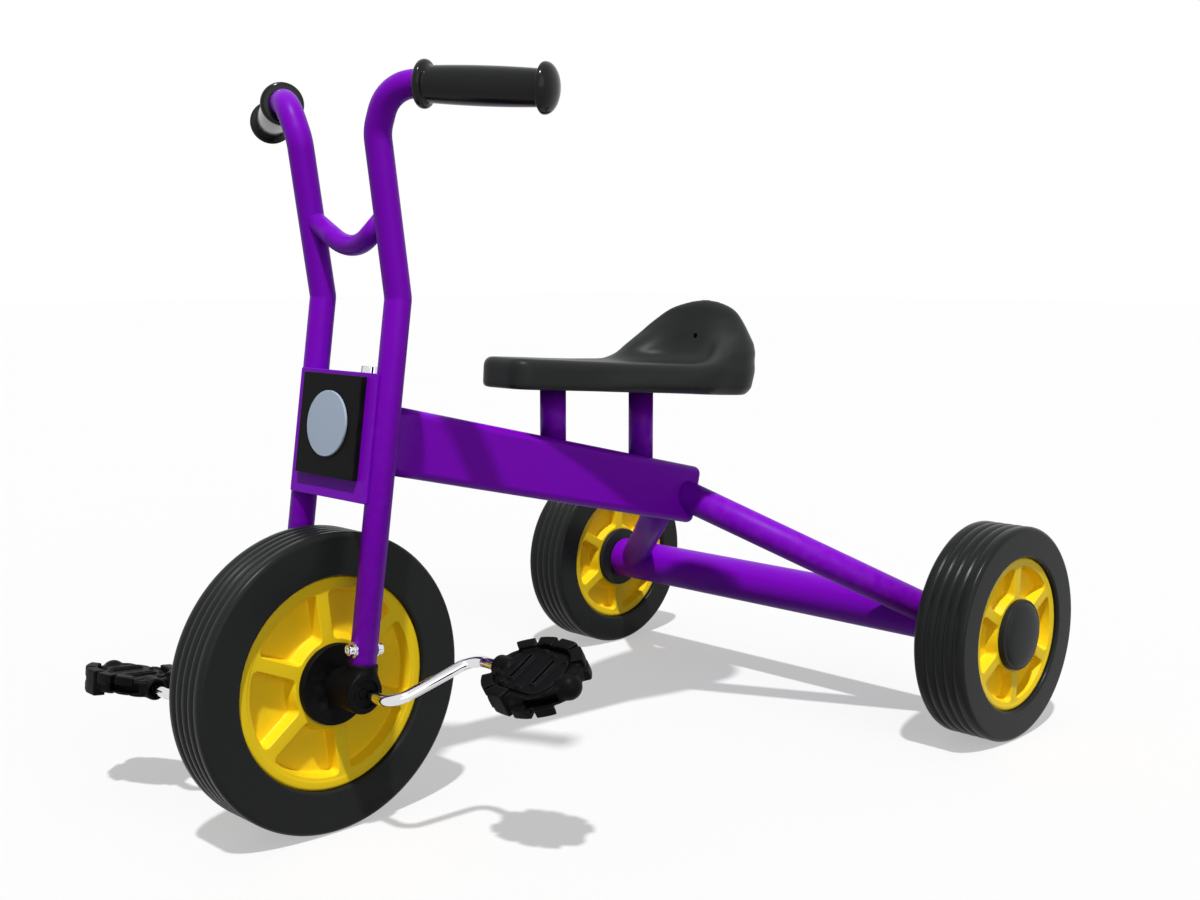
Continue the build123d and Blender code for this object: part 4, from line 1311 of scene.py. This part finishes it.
class TRICYCLE_OT_stage(Maker, bpy.types.Operator):
    """Set the floor, the lights and the camera"""
    bl_idname = "tricycle.stage"
    bl_label = "Stage"

    def execute(self, context):
        scene = context.scene
        tone = tuple(scene.tricycle_colours.floor)
        # the floor shows near white to the eye, and throws little light back at the tricycle
        size, cells, below = 30.0, 12, 0.2 * MM
        steps = [size * (i / cells - 0.5) for i in range(cells + 1)]
        mesh = plain_mesh("floor", [(x, y, -below) for y in steps for x in steps], strip(cells + 1, cells + 1))
        floor = held("floor", mesh)
        paper = bpy.data.materials.new("floor_paper")
        paper.use_nodes = True
        tree = paper.node_tree
        bsdf = tree.nodes["Principled BSDF"]
        for key, value in (("Roughness", 0.9), ("Specular IOR Level", 0.0), ("Emission Color", (1, 1, 1, 1))):
            bsdf.inputs[key].default_value = value
        noise = place(tree, "ShaderNodeTexNoise", {"Scale": 3.0})
        mix = place(tree, "ShaderNodeMix", {6: scaled(tone, 0.515), 7: scaled(tone, 0.52)}, data_type="RGBA")
        where = place(tree, "ShaderNodeTexCoord")
        dimmed = place(tree, "ShaderNodeMix", {6: scaled(tone, 0.15)}, data_type="RGBA")
        seen, level = seen_level(tree, 0, 0.44)
        wire(
            tree,
            (where, "Object", noise, "Vector"), (noise, 0, mix, 0), (mix, 2, dimmed, 7), (seen, 0, dimmed, 0),
            (dimmed, 2, bsdf, "Base Color"), (level, 0, bsdf, "Emission Strength"),
        )
        mesh.materials.append(paper)
        world = bpy.data.worlds.new("studio")
        scene.world = world
        world.use_nodes = True
        tree = world.node_tree
        sky = tree.nodes["Background"]
        sky.inputs["Color"].default_value = (1, 1, 1, 1)
        wire(tree, (seen_level(tree, 0.17, 1.0)[1], 0, sky, "Strength"))
        # name, strength, width in degrees, direction
        lights = (
            ("key", 3.0, 2.2, (-0.345, -0.335, -1.0)),
            ("fill", 0.72, 50, (-0.25, -1.0, -0.25)),
        )
        for name, power, wide, aim in lights:
            light = bpy.data.lights.new(name, "SUN")
            light.energy, light.angle = power, math.radians(wide)
            lamp = held(name, light)
            lamp.rotation_mode = "QUATERNION"
            lamp.rotation_quaternion = Vector(aim).to_track_quat("-Z", "Y")
        data = bpy.data.cameras.new("camera")
        data.lens, data.sensor_width, data.sensor_fit = 43.537, 36, "HORIZONTAL"
        camera = held("camera", data)
        camera.location = (0.866022, 0.899793, 0.422304)
        camera.rotation_euler = (math.radians(82.731), 0, math.radians(135.151))
        scene.camera = camera
        scene.view_settings.view_transform = "Standard"
        return {"FINISHED"}


OPERATORS = (
    TRICYCLE_OT_finishes,
    TRICYCLE_OT_tyres,
    TRICYCLE_OT_rims,
    TRICYCLE_OT_hubs,
    TRICYCLE_OT_crank,
    TRICYCLE_OT_pedals,
    TRICYCLE_OT_steering_tubes,
    TRICYCLE_OT_head,
    TRICYCLE_OT_grips,
    TRICYCLE_OT_housings,
    TRICYCLE_OT_frame_tubes,
    TRICYCLE_OT_seat,
    TRICYCLE_OT_stage,
)


class TRICYCLE_PT_panel(bpy.types.Panel):
    """Lists the tricycle's pieces, sizes and colours"""
    bl_label = "Tricycle"
    bl_idname = "TRICYCLE_PT_panel"
    bl_space_type = "VIEW_3D"
    bl_region_type = "UI"
    bl_category = "Tricycle"

    def draw(self, context):
        for op in OPERATORS:
            self.layout.operator(op.bl_idname)
        for name, group in GROUPS:
            box = self.layout.box()
            for key in group.__annotations__:
                box.prop(getattr(context.scene, name), key)


def register():
    for name, group in GROUPS:
        bpy.utils.register_class(group)
        setattr(bpy.types.Scene, name, bpy.props.PointerProperty(type=group))
    for cls in (*OPERATORS, TRICYCLE_PT_panel):
        bpy.utils.register_class(cls)


def unregister():
    for cls in (TRICYCLE_PT_panel, *reversed(OPERATORS)):
        bpy.utils.unregister_class(cls)
    for name, group in reversed(GROUPS):
        delattr(bpy.types.Scene, name)
        bpy.utils.unregister_class(group)


def main():
    register()
    for op in OPERATORS:
        group, name = op.bl_idname.split(".")
        getattr(getattr(bpy.ops, group), name)()


if __name__ == "__main__":
    main()
